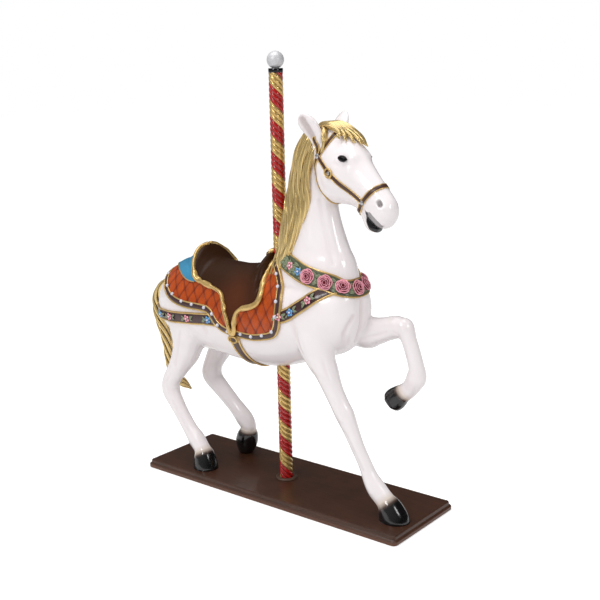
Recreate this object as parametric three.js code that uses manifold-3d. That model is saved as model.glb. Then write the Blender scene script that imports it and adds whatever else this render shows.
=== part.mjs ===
// Carousel horse on its stand: a painted prancing horse cast in one with its saddle, blanket and harness,
// carried by a twisted pole that stands on a stepped wooden plate. Millimetres, +Z up; the horse faces +X
// and its left side is +Y. The origin is the middle of the plate's underside.
import * as THREE from "three";
import { mergeVertices } from "three/addons/utils/BufferGeometryUtils.js";
import Module from "manifold-3d";

// ---- Driving dimensions -------------------------------------------------------------------------------

const GAP = 0.3; // left between pieces that touch

const PLATE = { length: 1220, width: 384, thick: 33, corner: 18 };
const PLATE_EDGE = [[0, 3], [3, 0], [14, 0], [18, 3], [20, 7], [23, 8], [29, 9], [33, 12]]; // height, inset

const POLE = { x: -25, radius: 26, valley: 23.4, lead: 120, rise: 15, top: 1579, plain: [600, 850] };
const BORE = 26.8; // corner radius of the hole the horse leaves for the pole
const FOOT_RING = { inner: 26.8, outer: 43, height: 9 };
const FERRULE = { radius: 26.4, height: 15 };
const BALL = { radius: 31, centre: 1623.5 };

const HEAD_TURN = { x: 190, angle: -0.157 }; // the head looks a little to its right, about the poll

// How far each layer stands off the body.
const LIFT = { cloth: 7, leather: 12 };
const ROSE = { radius: 25, height: 14 };

// ---- Body tables --------------------------------------------------------------------------------------
// Bodies are [x upper, z upper, x lower, z lower, half width] rows in the middle plane.
// Limbs are [x, y, z, half depth, half width] rows.

const TORSO = [
  [-632, 715, -632, 650, 38], [-614, 762, -614, 600, 76], [-582, 798, -582, 556, 106],
  [-528, 832, -528, 526, 130], [-455, 853, -455, 512, 143], [-350, 860, -350, 500, 147],
  [-150, 856, -150, 485, 147], [-30, 872, -30, 489, 146], [80, 886, 80, 519, 145],
  [200, 891, 200, 562, 138], [280, 876, 280, 594, 120], [320, 848, 320, 645, 92], [342, 800, 342, 710, 48],
];
const NECK = [
  [332, 820, -60, 845, 112], [308, 918, -22, 903, 96], [284, 968, -3, 950, 83], [250, 1060, 26, 1068, 66],
  [236, 1130, 45, 1140, 59], [237, 1200, 64, 1220, 55], [246, 1280, 94, 1315, 49], [235, 1350, 130, 1378, 36],
];
const HEAD = [
  [148, 1385, 118, 1300, 28], [190, 1398, 150, 1250, 50], [235, 1394, 176, 1190, 60],
  [288, 1382, 200, 1148, 66], [338, 1354, 240, 1131, 72], [378, 1314, 288, 1130, 66],
  [406, 1280, 330, 1128, 54], [450, 1232, 374, 1114, 45], [505, 1174, 412, 1092, 44],
  [522, 1146, 430, 1084, 46], [524, 1116, 446, 1074, 42], [512, 1088, 462, 1066, 32],
  [498, 1070, 480, 1062, 14],
];
const LOWER_JAW = [
  [400, 1150, 356, 1124, 34], [416, 1122, 384, 1100, 34], [440, 1082, 402, 1062, 31],
  [452, 1070, 422, 1048, 25], [460, 1062, 447, 1045, 13],
];
const NEAR_FORELEG = [
  [175, -75, 760, 85, 60], [198, -87, 650, 76, 60], [224, -86, 573, 57, 48], [245, -84, 534, 47, 41],
  [273, -83, 472, 38, 33], [303, -81, 416, 36, 31], [322, -80, 384, 37, 32], [339, -79, 350, 33, 28],
  [373, -78, 279, 27, 23], [411, -76, 207, 27, 23], [428, -76, 171, 31, 27], [453, -75, 135, 37, 32],
  [482, -74, 105, 36, 32], [508, -73, 80, 38, 36],
];
const NEAR_FOREHOOF = [
  [498, -73, 98, 34, 34], [508, -73, 80, 44, 42], [525, -72, 40, 57, 50], [529, -72, 20, 60, 51],
];
const RAISED_FOREARM = [
  [200, 68, 700, 72, 60], [301, 75, 657, 64, 54], [350, 76, 663, 52, 44],
  [395, 76, 677, 44, 38], [432, 77, 689, 42, 35], [458, 77, 696, 37, 34], [476, 77, 700, 22, 22],
];
const RAISED_CANNON = [
  [462, 77, 726, 14, 16], [470, 77, 706, 31, 30], [480, 77, 680, 33, 30], [491, 77, 650, 29, 26],
  [503, 77, 619, 29, 26], [522, 78, 554, 30, 27], [523, 78, 526, 37, 32],
  [515, 78, 500, 35, 32], [507, 78, 488, 16, 18],
];
const RAISED_PASTERN = [
  [526, 78, 524, 22, 24], [514, 78, 502, 34, 32], [494, 79, 472, 32, 28], [466, 79, 450, 34, 31],
];
const RAISED_HOOF = [
  [476, 79, 460, 24, 26], [462, 79, 449, 34, 33], [435, 80, 424, 43, 39], [416, 80, 407, 41, 40],
];
const NEAR_HIND_LEG = [
  [-470, -62, 700, 120, 78], [-447, -72, 610, 100, 68], [-456, -80, 524, 68, 54],
  [-474, -82, 480, 59, 46], [-512, -85, 420, 45, 36], [-548, -89, 367, 39, 33],
  [-557, -91, 333, 40, 35], [-548, -93, 304, 38, 33], [-531, -95, 281, 35, 30], [-490, -98, 229, 31, 27],
  [-443, -101, 173, 32, 27], [-410, -103, 140, 37, 32], [-382, -106, 112, 34, 31], [-365, -108, 88, 36, 34],
];
const NEAR_HIND_HOOF = [
  [-372, -108, 100, 34, 34], [-366, -108, 85, 43, 41], [-357, -111, 45, 52, 47], [-354, -112, 20, 55, 49],
];
const FAR_HIND_LEG = [
  [-440, 62, 690, 115, 76], [-405, 73, 600, 96, 66], [-418, 84, 510, 62, 52],
  [-440, 86, 468, 50, 44], [-480, 88, 405, 42, 36], [-496, 90, 357, 45, 38],
  [-483, 92, 328, 41, 35], [-458, 94, 304, 38, 32], [-390, 97, 244, 34, 29],
  [-354, 98, 212, 35, 31], [-330, 100, 186, 38, 33], [-313, 102, 162, 35, 31], [-307, 103, 140, 30, 28],
];
const FAR_HIND_HOOF = [
  [-306, 103, 146, 26, 28], [-312, 104, 126, 41, 38], [-325, 106, 90, 47, 45], [-333, 108, 50, 38, 36],
  [-334, 108, 22, 20, 22],
];
const TAIL = [
  [-590, 0, 752, 16, 16], [-618, 0, 752, 16, 16], [-669, 0, 722, 22, 22], [-697, 0, 676, 26, 26],
  [-700, 0, 630, 27, 27], [-689, 0, 578, 27, 26], [-672, 0, 528, 26, 24], [-658, 0, 474, 22, 22],
  [-655, 0, 425, 20, 20], [-642, 0, 376, 22, 20], [-608, 0, 338, 24, 20], [-568, 0, 316, 17, 12],
  [-532, 0, 302, 4, 4],
];

// ---- Tack tables: [x, z] outlines seen from the side, the same on both sides --------------------------

const BLANKET = [
  [-600, 860], [-566, 806], [-547, 777], [-517, 744], [-470, 716], [-400, 702], [-314, 700], [-270, 696],
  [-250, 678], [-225, 651], [-195, 635], [-152, 627], [-57, 622], [6, 632], [55, 648], [74, 672], [84, 707],
  [84, 786], [66, 852], [38, 886], [0, 915], [-60, 940], [-300, 1000], [-600, 1000],
];
const SKIRT = [
  [-420, 1000], [-412, 920], [-385, 860], [-362, 820], [-333, 800], [-289, 788], [-241, 780], [-205, 772],
  [-190, 755], [-182, 725], [-169, 700], [-158, 674], [-153, 627], [-122, 627], [-122, 700], [-107, 728],
  [-62, 740], [-26, 752], [-10, 775], [-8, 803], [-14, 844], [-26, 889], [-38, 913], [-44, 1000],
];
const GIRTH = [
  [-153, 640], [-118, 640], [-106, 560], [-84, 480], [-84, 440], [-124, 440], [-136, 520], [-147, 580],
];
const BREAST_STRAP = [
  [40, 745], [82, 745], [113, 757], [176, 801], [237, 842], [290, 850], [300, 836], [266, 812], [198, 766],
  [135, 726], [82, 703], [40, 700],
];
const BREECH_STRAP = [
  [-680, 680], [-600, 673], [-540, 669], [-485, 668], [-375, 676], [-262, 686], [-220, 690], [-220, 648],
  [-291, 646], [-350, 641], [-471, 627], [-543, 625], [-600, 628], [-680, 632],
];
const COLLAR = [
  [30, 962], [78, 936], [139, 916], [188, 904], [250, 890], [308, 878], [345, 868], [390, 864], [390, 805],
  [357, 808], [320, 806], [293, 816], [265, 830], [210, 842], [139, 865], [65, 896], [20, 925],
];
const ROSES = [[0.118, 87], [0.088, 105], [0.06, 126], [0.046, 151], [0.043, 173]]; // share of neck, angle

// Mane locks on the right of the neck: the share of the neck's height and the angle round from the crest
// where each starts and ends, and its half width.
const MANE = [
  [1.0, 10, 0.17, 20, 17], [1.0, 32, 0.12, 36, 19], [0.99, 54, 0.1, 52, 20], [0.97, 76, 0.2, 70, 19],
  [0.96, 94, 0.42, 84, 16], [0.97, -14, 0.3, -12, 15],
];
const MANE_TIP = [[28, -50, 905, 20, 13], [20, -62, 884, 14, 11], [6, -64, 872, 4, 4]];
const FORELOCK = [-26, 0, 26]; // sideways places of its locks over the brow

const joined = (parts) => parts.reduce((a, b) => a.add(b));

// ---- Solids -------------------------------------------------------------------------------------------

const wasm = await Module();
wasm.setup();

/** A closed three.js geometry as a manifold-3d solid. */
function solid(geometry) {
  const bare = geometry.clone();
  for (const name of ["normal", "uv"]) bare.deleteAttribute(name);
  const merged = mergeVertices(bare, 1e-4);
  return new wasm.Manifold(
    new wasm.Mesh({
      numProp: 3,
      vertProperties: new Float32Array(merged.attributes.position.array),
      triVerts: new Uint32Array(merged.index.array),
    }),
  );
}

/** A manifold-3d solid as a three.js geometry. */
function geometryOf(made) {
  const mesh = made.getMesh();
  const geometry = new THREE.BufferGeometry();
  geometry.setAttribute("position", new THREE.BufferAttribute(mesh.vertProperties, 3));
  geometry.setIndex(new THREE.BufferAttribute(mesh.triVerts, 1));
  return geometry;
}

/** Catmull-Rom value between b and c, with neighbours a and d, at share t. */
function between(a, b, c, d, t) {
  return 0.5 * (2 * b + (c - a) * t + (2 * a - 5 * b + 4 * c - d) * t * t + (3 * b - a - 3 * c + d) * t ** 3);
}

/** The rows of a table with `steps` smooth rows to each span of it. */
function smoothRows(rows, steps) {
  const at = (i) => rows[Math.max(0, Math.min(rows.length - 1, i))];
  const out = [];
  for (let i = 0; i < rows.length - 1; i++)
    for (let k = 0; k < steps; k++)
      out.push(rows[i].map((_, c) => between(at(i - 1)[c], at(i)[c], at(i + 1)[c], at(i + 2)[c], k / steps)));
  out.push(rows[rows.length - 1]);
  return out;
}

/** A closed skin through rings of points, every ring with as many points. */
function skin(rings) {
  const sides = rings[0].length;
  const points = rings.flat();
  const middle = (ring) => ring.reduce((a, p) => a.add(p), new THREE.Vector3()).divideScalar(sides);
  const first = points.push(middle(rings[0])) - 1;
  const last = points.push(middle(rings[rings.length - 1])) - 1;
  const end = (rings.length - 1) * sides;
  const faces = [];
  for (let k = 0; k < sides; k++) {
    const n = (k + 1) % sides;
    for (let r = 0; r < rings.length - 1; r++) {
      const [a, b, c, d] = [r * sides + k, r * sides + n, (r + 1) * sides + n, (r + 1) * sides + k];
      faces.push(a, b, c, a, c, d);
    }
    faces.push(first, n, k, last, end + k, end + n);
  }
  const geometry = new THREE.BufferGeometry().setFromPoints(points);
  geometry.setIndex(faces);
  const made = solid(geometry);
  if (made.volume() > 0) return made;
  geometry.setIndex(faces.map((_, i) => faces[i - (i % 3) + [0, 2, 1][i % 3]]));
  return solid(geometry);
}

/** A ring of points whose flats and corners straddle the oval of these two half axes. */
function oval(centre, deep, wide, sides) {
  const fair = (1 + 1 / Math.cos(Math.PI / sides)) / 2;
  return Array.from({ length: sides }, (_, k) => {
    const a = (2 * Math.PI * k) / sides;
    return centre.clone().addScaledVector(deep, fair * Math.cos(a)).addScaledVector(wide, fair * Math.sin(a));
  });
}

/** A limb through its rows, the rings square to its path. */
function limb(rows, { sides = 8, steps = 1, grow = 0 } = {}) {
  const smooth = smoothRows(rows, steps);
  const at = (i) => new THREE.Vector3(...smooth[i].slice(0, 3));
  return skin(
    smooth.map((row, i) => {
      const along = at(Math.min(i + 1, smooth.length - 1)).sub(at(Math.max(i - 1, 0))).normalize();
      const wide = new THREE.Vector3(0, 1, 0).addScaledVector(along, -along.y).normalize();
      const deep = new THREE.Vector3().crossVectors(along, wide);
      return oval(at(i), deep.multiplyScalar(row[3] + grow), wide.multiplyScalar(row[4] + grow), sides);
    }),
  );
}

/** A body in the middle plane through its rows. */
function hull(rows, { sides = 14, steps = 1, grow = 0 } = {}) {
  return skin(
    smoothRows(rows, steps).map(([xu, zu, xl, zl, half]) => {
      const deep = new THREE.Vector3((xu - xl) / 2, 0, (zu - zl) / 2);
      deep.setLength(deep.length() + grow);
      const centre = new THREE.Vector3((xu + xl) / 2, 0, (zu + zl) / 2);
      return oval(centre, deep, new THREE.Vector3(0, half + grow, 0), sides);
    }),
  );
}

/** A side outline of [x, z] corners carried right across the horse. */
function across(outline) {
  const shape = new THREE.Shape(outline.map(([x, z]) => new THREE.Vector2(x, z)));
  const geometry = new THREE.ExtrudeGeometry(shape, { depth: 800, bevelEnabled: false, steps: 1 });
  return solid(geometry.rotateX(Math.PI / 2).translate(0, 400, 0));
}

// ---- Horse --------------------------------------------------------------------------------------------

/** The trunk with the roots of the neck and hind legs, `grow` thicker all round: what the tack lies on. */
function core(grow) {
  return joined([
    hull(TORSO, { grow }), hull(NECK, { grow }),
    limb(NEAR_HIND_LEG.slice(0, 4), { grow }), limb(FAR_HIND_LEG.slice(0, 4), { grow }),
  ]);
}

/** One ear: a pointed leaf standing up and out, hollow in front. */
function ear(side) {
  return limb(
    [
      [204, side * 46, 1340, 24, 18], [201, side * 58, 1370, 30, 18], [194, side * 73, 1396, 32, 17],
      [185, side * 91, 1422, 24, 13], [176, side * 106, 1440, 9, 6],
    ],
    { sides: 6 },
  );
}

/** A forelock lock from the poll down the forehead. */
function forelock(y) {
  return limb(
    [
      [190, y * 0.5, 1392, 10, 14], [235, y * 0.8, 1394, 13, 15], [288, y, 1380, 12, 14],
      [334, y * 1.2, 1353, 9, 11], [362 - Math.abs(y) * 0.3, y * 1.3, 1326, 4, 4],
    ],
    { sides: 6, steps: 1 },
  );
}

function head() {
  const locks = FORELOCK.map(forelock);
  const made = joined([hull(HEAD), hull(LOWER_JAW, { sides: 8 }), ear(1), ear(-1), ...locks]);
  return made
    .translate([-HEAD_TURN.x, 0, 0])
    .rotate([0, 0, (HEAD_TURN.angle * 180) / Math.PI])
    .translate([HEAD_TURN.x, 0, 0]);
}

/** Blanket, straps and collar in one layer, the saddle's leather in a thicker one over it. */
function tack() {
  const cloth = joined([BLANKET, BREAST_STRAP, BREECH_STRAP, COLLAR].map(across));
  const leather = joined([SKIRT, GIRTH].map(across));
  return core(LIFT.cloth).intersect(cloth).add(core(LIFT.leather).intersect(leather));
}

const SEAT = [
  [-408, 876, -300, 560, 138], [-404, 914, -296, 500, 149], [-395, 928, -290, 485, 152],
  [-382, 926, -280, 480, 152], [-364, 901, -270, 480, 151], [-338, 877, -255, 478, 150],
  [-275, 868, -240, 476, 149], [-197, 870, -197, 478, 150], [-141, 877, -141, 480, 150],
  [-100, 889, -120, 482, 150], [-70, 914, -90, 484, 150], [-54, 934, -75, 486, 149],
  [-42, 933, -65, 488, 148], [-36, 900, -60, 500, 146],
];

/** The point on the neck at a share of its height, at an angle from the crest towards the right side. */
function onNeck(share, angle, lift) {
  const rows = smoothRows(NECK, 4);
  const [xu, zu, xl, zl, half] = rows[Math.round(share * (rows.length - 1))];
  const deep = new THREE.Vector3((xl - xu) / 2, 0, (zl - zu) / 2);
  const a = (angle * Math.PI) / 180;
  deep.setLength(deep.length() + lift).multiplyScalar(Math.cos(a));
  return deep.add(new THREE.Vector3((xu + xl) / 2, -(half + lift) * Math.sin(a), (zu + zl) / 2));
}

/** One mane lock, waving a little as it falls down the neck. */
function maneLock([top, from, bottom, to, half], n) {
  const rows = [];
  for (let i = 0; i <= 5; i++) {
    const t = i / 5;
    const wave = 3 * Math.sin(t * 9 + n * 2);
    const p = onNeck(top + (bottom - top) * t, from + (to - from) * t + wave, 3);
    const size = half * (i === 5 ? 0.35 : 1 - 0.25 * t);
    rows.push([p.x, p.y, p.z, size, size * 0.85]);
  }
  return limb(rows, { sides: 6 });
}

/** A rose: a low domed knob standing on the collar, on the right for side 1 and on the left for -1. */
function rose(share, angle, side) {
  const out = onNeck(share, angle, LIFT.cloth);
  const normal = out.clone().sub(onNeck(share, angle, 0)).setZ(0).normalize();
  out.y *= side;
  normal.y *= side;
  const rings = [[-10, 0.9], [ROSE.height * 0.5, 1], [ROSE.height, 0.55]].map(([d, k]) => {
    const wide = new THREE.Vector3(-normal.y, normal.x, 0).multiplyScalar(ROSE.radius * k);
    return oval(out.clone().addScaledVector(normal, d), wide, new THREE.Vector3(0, 0, ROSE.radius * k), 5);
  });
  return skin(rings);
}

/** One of the three locks that wind round each other down the tail. */
function tailLock(n) {
  const rows = TAIL.map(([x, y, z, deep, wide], i) => {
    const a = (2 * Math.PI * n) / 3 + i * 0.5;
    const off = i < TAIL.length - 1 ? 0.38 : 0;
    return [x + off * deep * Math.cos(a), y + off * wide * Math.sin(a), z, deep * 0.72, wide * 0.72];
  });
  return limb(rows, { sides: 6 });
}

function horse() {
  const limbs = [NEAR_FORELEG, NEAR_FOREHOOF, RAISED_FOREARM, RAISED_CANNON, RAISED_PASTERN, RAISED_HOOF,
    NEAR_HIND_LEG, NEAR_HIND_HOOF, FAR_HIND_LEG, FAR_HIND_HOOF];
  const seat = hull(SEAT, { sides: 16 }).intersect(across(SKIRT));
  const body = joined([
    hull(TORSO), hull(NECK), head(), tack(), seat,
    ...[0, 1, 2].map(tailLock), limb(MANE_TIP, { sides: 6 }), ...MANE.map(maneLock),
    ...ROSES.flatMap(([share, angle]) => [rose(share, angle, 1), rose(share, angle, -1)]),
    ...limbs.map((rows) => limb(rows)),
  ]);
  const floor = new THREE.BoxGeometry(3000, 3000, 1000).translate(0, 0, PLATE.thick + GAP - 500);
  const bore = new THREE.CylinderGeometry(BORE, BORE, 3000, 24).rotateX(Math.PI / 2).translate(POLE.x, 0, 0);
  return body.subtract(solid(floor)).subtract(solid(bore));
}

// ---- Stand --------------------------------------------------------------------------------------------

/** A rounded rectangle of points, `inset` inside the plate's outline, at height z. */
function plateRing(z, inset) {
  const r = PLATE.corner - inset / 2;
  const [hx, hy] = [PLATE.length / 2 - inset - r, PLATE.width / 2 - inset - r];
  const corners = [[1, 1], [-1, 1], [-1, -1], [1, -1]];
  return corners.flatMap(([sx, sy], q) =>
    [0, 1, 2, 3].map((k) => {
      const a = (q + k / 3) * (Math.PI / 2);
      return new THREE.Vector3(sx * hx + r * Math.cos(a), sy * hy + r * Math.sin(a), z);
    }),
  );
}

const plate = () => skin(PLATE_EDGE.map(([z, inset]) => plateRing(z, inset)));

/** The pole: six strands wound left-handed, plain where the horse hides it. */
function pole() {
  const [low, high] = POLE.plain;
  const bottom = PLATE.thick + GAP;
  const ring = (z, plain) =>
    Array.from({ length: 12 }, (_, k) => {
      const a = (Math.PI / 6) * k - (2 * Math.PI * (z - bottom)) / POLE.lead;
      const r = plain || k % 2 ? POLE.radius : POLE.valley;
      return new THREE.Vector3(POLE.x + r * Math.cos(a), r * Math.sin(a), z);
    });
  const rings = [];
  for (let z = bottom; z < low; z += POLE.rise) rings.push(ring(z));
  rings.push(ring(low), ring(low + 120, true), ring(high));
  for (let z = high + POLE.rise; z < POLE.top - POLE.rise / 2; z += POLE.rise) rings.push(ring(z));
  rings.push(ring(POLE.top));
  return skin(rings);
}

/** A turned piece round the pole's axis from its [radius, z] profile, closed on itself or on the axis. */
function turned(profile, sides = 18) {
  const points = profile.map(([r, z]) => new THREE.Vector2(r, z));
  return solid(new THREE.LatheGeometry(points, sides).rotateX(Math.PI / 2).translate(POLE.x, 0, 0));
}

function footRing() {
  const { inner, outer, height } = FOOT_RING;
  const z = PLATE.thick + GAP;
  return turned([[inner, z], [outer, z], [outer, z + 3], [outer - 3, z + height - 2], [outer - 7, z + height],
    [inner, z + height - 3], [inner, z]]);
}

function ferrule() {
  const z = POLE.top + GAP;
  return turned([[0, z], [FERRULE.radius, z], [FERRULE.radius, z + FERRULE.height], [0, z + FERRULE.height]]);
}

function ball() {
  const foot = POLE.top + 2 * GAP + FERRULE.height;
  const start = Math.acos((BALL.centre - foot) / BALL.radius);
  const rows = 8;
  const profile = [[0, foot]];
  for (let i = 0; i <= rows; i++) {
    const a = start + ((Math.PI - start) * i) / rows;
    profile.push([i === rows ? 0 : BALL.radius * Math.sin(a), BALL.centre - BALL.radius * Math.cos(a)]);
  }
  return turned(profile);
}

const group = new THREE.Group();
function add(name, made, colour, roughness, metalness) {
  const material = new THREE.MeshStandardMaterial({ color: colour, roughness, metalness });
  const mesh = new THREE.Mesh(geometryOf(made), material);
  mesh.name = name;
  group.add(mesh);
}
add("horse", horse(), "#f2eeee", 0.2, 0);
add("base_plate", plate(), "#4a342a", 0.5, 0);
add("pole", pole(), "#b0121a", 0.3, 0.2);
add("pole_flange", footRing(), "#3b2418", 0.5, 0);
add("pole_ferrule", ferrule(), "#22201f", 0.2, 0.9);
add("ball_finial", ball(), "#b9b9bd", 0.25, 0.8);

export default group;
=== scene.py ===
"""Finished looks of the carousel horse on its stand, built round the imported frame.

Metres, +Z up, with the horse facing +X and its left along +Y. Values that end up in mm() are millimetres.
"""

from __future__ import annotations

import logging
import math
from dataclasses import dataclass, field
from enum import Enum
from typing import Callable, Iterable, Sequence

import bmesh
import bpy
import numpy as np
from mathutils import Matrix, Vector
from mathutils.bvhtree import BVHTree


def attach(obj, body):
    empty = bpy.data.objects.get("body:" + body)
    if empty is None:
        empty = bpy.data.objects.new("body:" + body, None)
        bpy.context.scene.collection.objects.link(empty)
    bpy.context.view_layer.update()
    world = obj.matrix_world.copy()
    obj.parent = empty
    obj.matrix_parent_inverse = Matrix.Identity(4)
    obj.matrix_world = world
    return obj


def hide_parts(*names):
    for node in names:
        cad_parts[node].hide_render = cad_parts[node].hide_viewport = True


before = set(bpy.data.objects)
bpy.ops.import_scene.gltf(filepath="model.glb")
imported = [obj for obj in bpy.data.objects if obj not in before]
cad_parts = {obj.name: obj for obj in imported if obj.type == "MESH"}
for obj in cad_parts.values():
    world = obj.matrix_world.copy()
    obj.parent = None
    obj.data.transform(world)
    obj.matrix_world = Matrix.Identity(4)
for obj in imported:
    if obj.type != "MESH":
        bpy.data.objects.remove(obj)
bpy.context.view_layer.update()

LOG = logging.getLogger("carousel_horse")
MM = 0.001
LOWEST = 0.72  # radius of a carved lock's deepest groove, as a share of its ridges
FAR_OUT = 0.4  # a distance from the trunk's axis that is clear of the horse
HEM = 0.008  # how deep the edge of a layer turns in
DEEP_CUT = 12.0  # millimetres of cut that would shade the skin in full
DEEPEST = 0.6  # the most that a cut shades it
Row = Sequence[float]
Colour = tuple[float, float, float]


class Bloom(Enum):
    """The colours of the small flowers."""

    PINK = "pink"
    BLUE = "blue"


# ---- Small helpers -------------------------------------------------------------------------------


def mm(x: float, y: float, z: float) -> Vector:
    """A point in metres from one in millimetres: forward, to the horse's left and up."""
    return Vector((x, y, z)) * MM


def srgb(red: int, green: int, blue: int) -> Colour:
    """A colour from its eight-bit display values.

    Args:
        red: Red, 0 to 255.
        green: Green, 0 to 255.
        blue: Blue, 0 to 255.

    Returns:
        The linear colour.
    """
    parts = []
    for value in (red, green, blue):
        share = value / 255
        parts.append(share / 12.92 if share <= 0.04045 else ((share + 0.055) / 1.055) ** 2.4)
    return (parts[0], parts[1], parts[2])


def fair(rows: Sequence[Row], steps: int) -> np.ndarray:
    """Smooth rows through the given ones.

    Args:
        rows: Rows of equal length.
        steps: How many rows each span becomes.

    Returns:
        The rows as an array, first and last kept.
    """
    data = np.array(rows, float)
    last = len(data) - 1
    out = []
    for i in range(last):
        a, b, c, d = (data[min(max(i + k, 0), last)] for k in (-1, 0, 1, 2))
        for k in range(steps):
            t = k / steps
            square, cube = 2 * a - 5 * b + 4 * c - d, 3 * b - a - 3 * c + d
            out.append(0.5 * (2 * b + (c - a) * t + square * t**2 + cube * t**3))
    out.append(data[last])
    return np.array(out)


def spaced(points: np.ndarray, count: int) -> np.ndarray:
    """A line cut into even lengths.

    Args:
        points: The line's points, one to a row.
        count: How many points to return.

    Returns:
        Points evenly spaced along the line.
    """
    steps = np.linalg.norm(np.diff(points, axis=0), axis=1)
    at = np.concatenate([[0.0], np.cumsum(steps)])
    want = np.linspace(0, at[-1], count)
    return np.stack([np.interp(want, at, points[:, k]) for k in range(points.shape[1])], 1)


def eased(value: np.ndarray, low: float, high: float) -> np.ndarray:
    """A smooth step from 0 at `low` to 1 at `high`.

    Args:
        value: The values to map.
        low: Where the step starts.
        high: Where it ends.

    Returns:
        The shares.
    """
    t = np.clip((value - low) / (high - low), 0, 1)
    return t * t * (3 - 2 * t)


def far_from(points: np.ndarray, path: np.ndarray) -> np.ndarray:
    """Distance of points from a line of segments.

    Args:
        points: The points, one to a row.
        path: The line's corners, one to a row.

    Returns:
        The distances.
    """
    best = np.full(len(points), np.inf)
    if len(path) == 1:
        return np.linalg.norm(points - path[0], axis=1)
    for a, b in zip(path, path[1:]):
        along = b - a
        t = np.clip((points - a) @ along / (along @ along), 0, 1)
        best = np.minimum(best, np.linalg.norm(points - a - t[:, None] * along, axis=1))
    return best


def patch(points: np.ndarray, outline: Sequence[Sequence[float]], soft: float) -> np.ndarray:
    """How far points lie inside a painted patch, from 0 outside to 1 inside.

    Args:
        points: The points in the patch's plane, one to a row.
        outline: The patch's corners.
        soft: How wide its edge fades on either side.

    Returns:
        The shares.
    """
    ring = np.array([*outline, outline[0]], float)
    inside = np.zeros(len(points), bool)
    for (x0, y0), (x1, y1) in zip(ring, ring[1:]):
        if y0 == y1:
            continue
        crosses = (y0 > points[:, 1]) != (y1 > points[:, 1])
        inside ^= crosses & (points[:, 0] < x0 + (x1 - x0) * (points[:, 1] - y0) / (y1 - y0))
    gap = far_from(points, ring)
    return eased(np.where(inside, gap, -gap), -soft, soft)


# ---- Meshes --------------------------------------------------------------------------------------


def placed(centre: Vector, deep: Vector, wide: Vector) -> Matrix:
    """The place of a unit circle as a cross-section.

    Args:
        centre: The section's middle.
        deep: Its first half axis.
        wide: Its second half axis.

    Returns:
        The matrix that carries the unit circle there.
    """
    along = deep.cross(wide).normalized()
    matrix = Matrix((deep, wide, along)).transposed().to_4x4()
    matrix.translation = centre
    return matrix


def trunk_sections(rows: Sequence[Row], steps: int) -> list[Matrix]:
    """Sections of a body in the middle plane.

    Args:
        rows: [x upper, z upper, x lower, z lower, half width] rows in millimetres.
        steps: How many sections each span becomes.

    Returns:
        The sections' places.
    """
    out = []
    for xu, zu, xl, zl, half in fair(rows, steps):
        middle = mm((xu + xl) / 2, 0, (zu + zl) / 2)
        deep = mm((xu - xl) / 2, 0, (zu - zl) / 2)
        out.append(placed(middle, deep, mm(0, half, 0)))
    return out


def limb_sections(rows: Sequence[Row], steps: int, twist: float = 0.0) -> list[Matrix]:
    """Sections of a limb or lock, square to its path.

    Args:
        rows: [x, y, z, half depth, half width] rows in millimetres.
        steps: How many sections each span becomes.
        twist: How far the section turns from the first to the last, in radians.

    Returns:
        The sections' places.
    """
    smooth = fair(rows, steps)
    last = len(smooth) - 1
    out = []
    for i, row in enumerate(smooth):
        along = Vector(smooth[min(i + 1, last)][:3] - smooth[max(i - 1, 0)][:3]).normalized()
        wide = (Vector((0, 1, 0)) - along * along.y).normalized()
        deep = along.cross(wide)
        turn = twist * i / last
        side = deep * math.cos(turn) + wide * math.sin(turn)
        other = wide * math.cos(turn) - deep * math.sin(turn)
        out.append(placed(mm(*row[:3]), side * (row[3] * MM), other * (row[4] * MM)))
    return out


def add_loft(
    bm: bmesh.types.BMesh,
    sections: Sequence[Matrix],
    sides: int,
    profile: Callable[[float], float] | None = None,
) -> list[bmesh.types.BMVert]:
    """A closed skin through sections, drawn out ring by ring.

    Args:
        bm: The mesh it is added to.
        sections: The places of the rings.
        sides: Points in a ring.
        profile: The ring's radius at each angle, 1 where it isn't given.

    Returns:
        The vertices it added.
    """
    part = bmesh.new()
    deep = part.verts.layers.float.new("depth") if bm.verts.layers.float.get("depth") else None
    made = bmesh.ops.create_circle(part, cap_ends=False, segments=sides, radius=1.0)["verts"]
    for vert in made:
        reach = profile(math.atan2(vert.co.y, vert.co.x)) if profile else 1.0
        vert.co *= reach
        # Painted shade: each groove's depth is stored, and the paint darkens there.
        if deep and profile:
            vert[deep] = (1.0 - reach) / (1.0 - LOWEST)
    rim = list({edge for vert in made for edge in vert.link_edges})
    bmesh.ops.contextual_create(part, geom=rim)
    bmesh.ops.transform(part, matrix=sections[0], verts=made)
    for before, after in zip(sections, sections[1:]):
        grown = bmesh.ops.extrude_edge_only(part, edges=rim)["geom"]
        ring = {g for g in grown if isinstance(g, bmesh.types.BMVert)}
        rim = [g for g in grown if isinstance(g, bmesh.types.BMEdge) and ring.issuperset(g.verts)]
        bmesh.ops.transform(part, matrix=after @ before.inverted(), verts=list(ring))
    bmesh.ops.contextual_create(part, geom=rim)
    return pour(part, bm)


def pour(part: bmesh.types.BMesh, into: bmesh.types.BMesh) -> list[bmesh.types.BMVert]:
    """Adds one mesh being modelled to another.

    Args:
        part: The mesh added, freed here.
        into: The mesh it is added to.

    Returns:
        The vertices it added.
    """
    mesh = bpy.data.meshes.new("part")
    part.to_mesh(mesh)
    part.free()
    count = len(into.verts)
    into.from_mesh(mesh)
    bpy.data.meshes.remove(mesh)
    into.verts.ensure_lookup_table()
    return list(into.verts)[count:]


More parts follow.
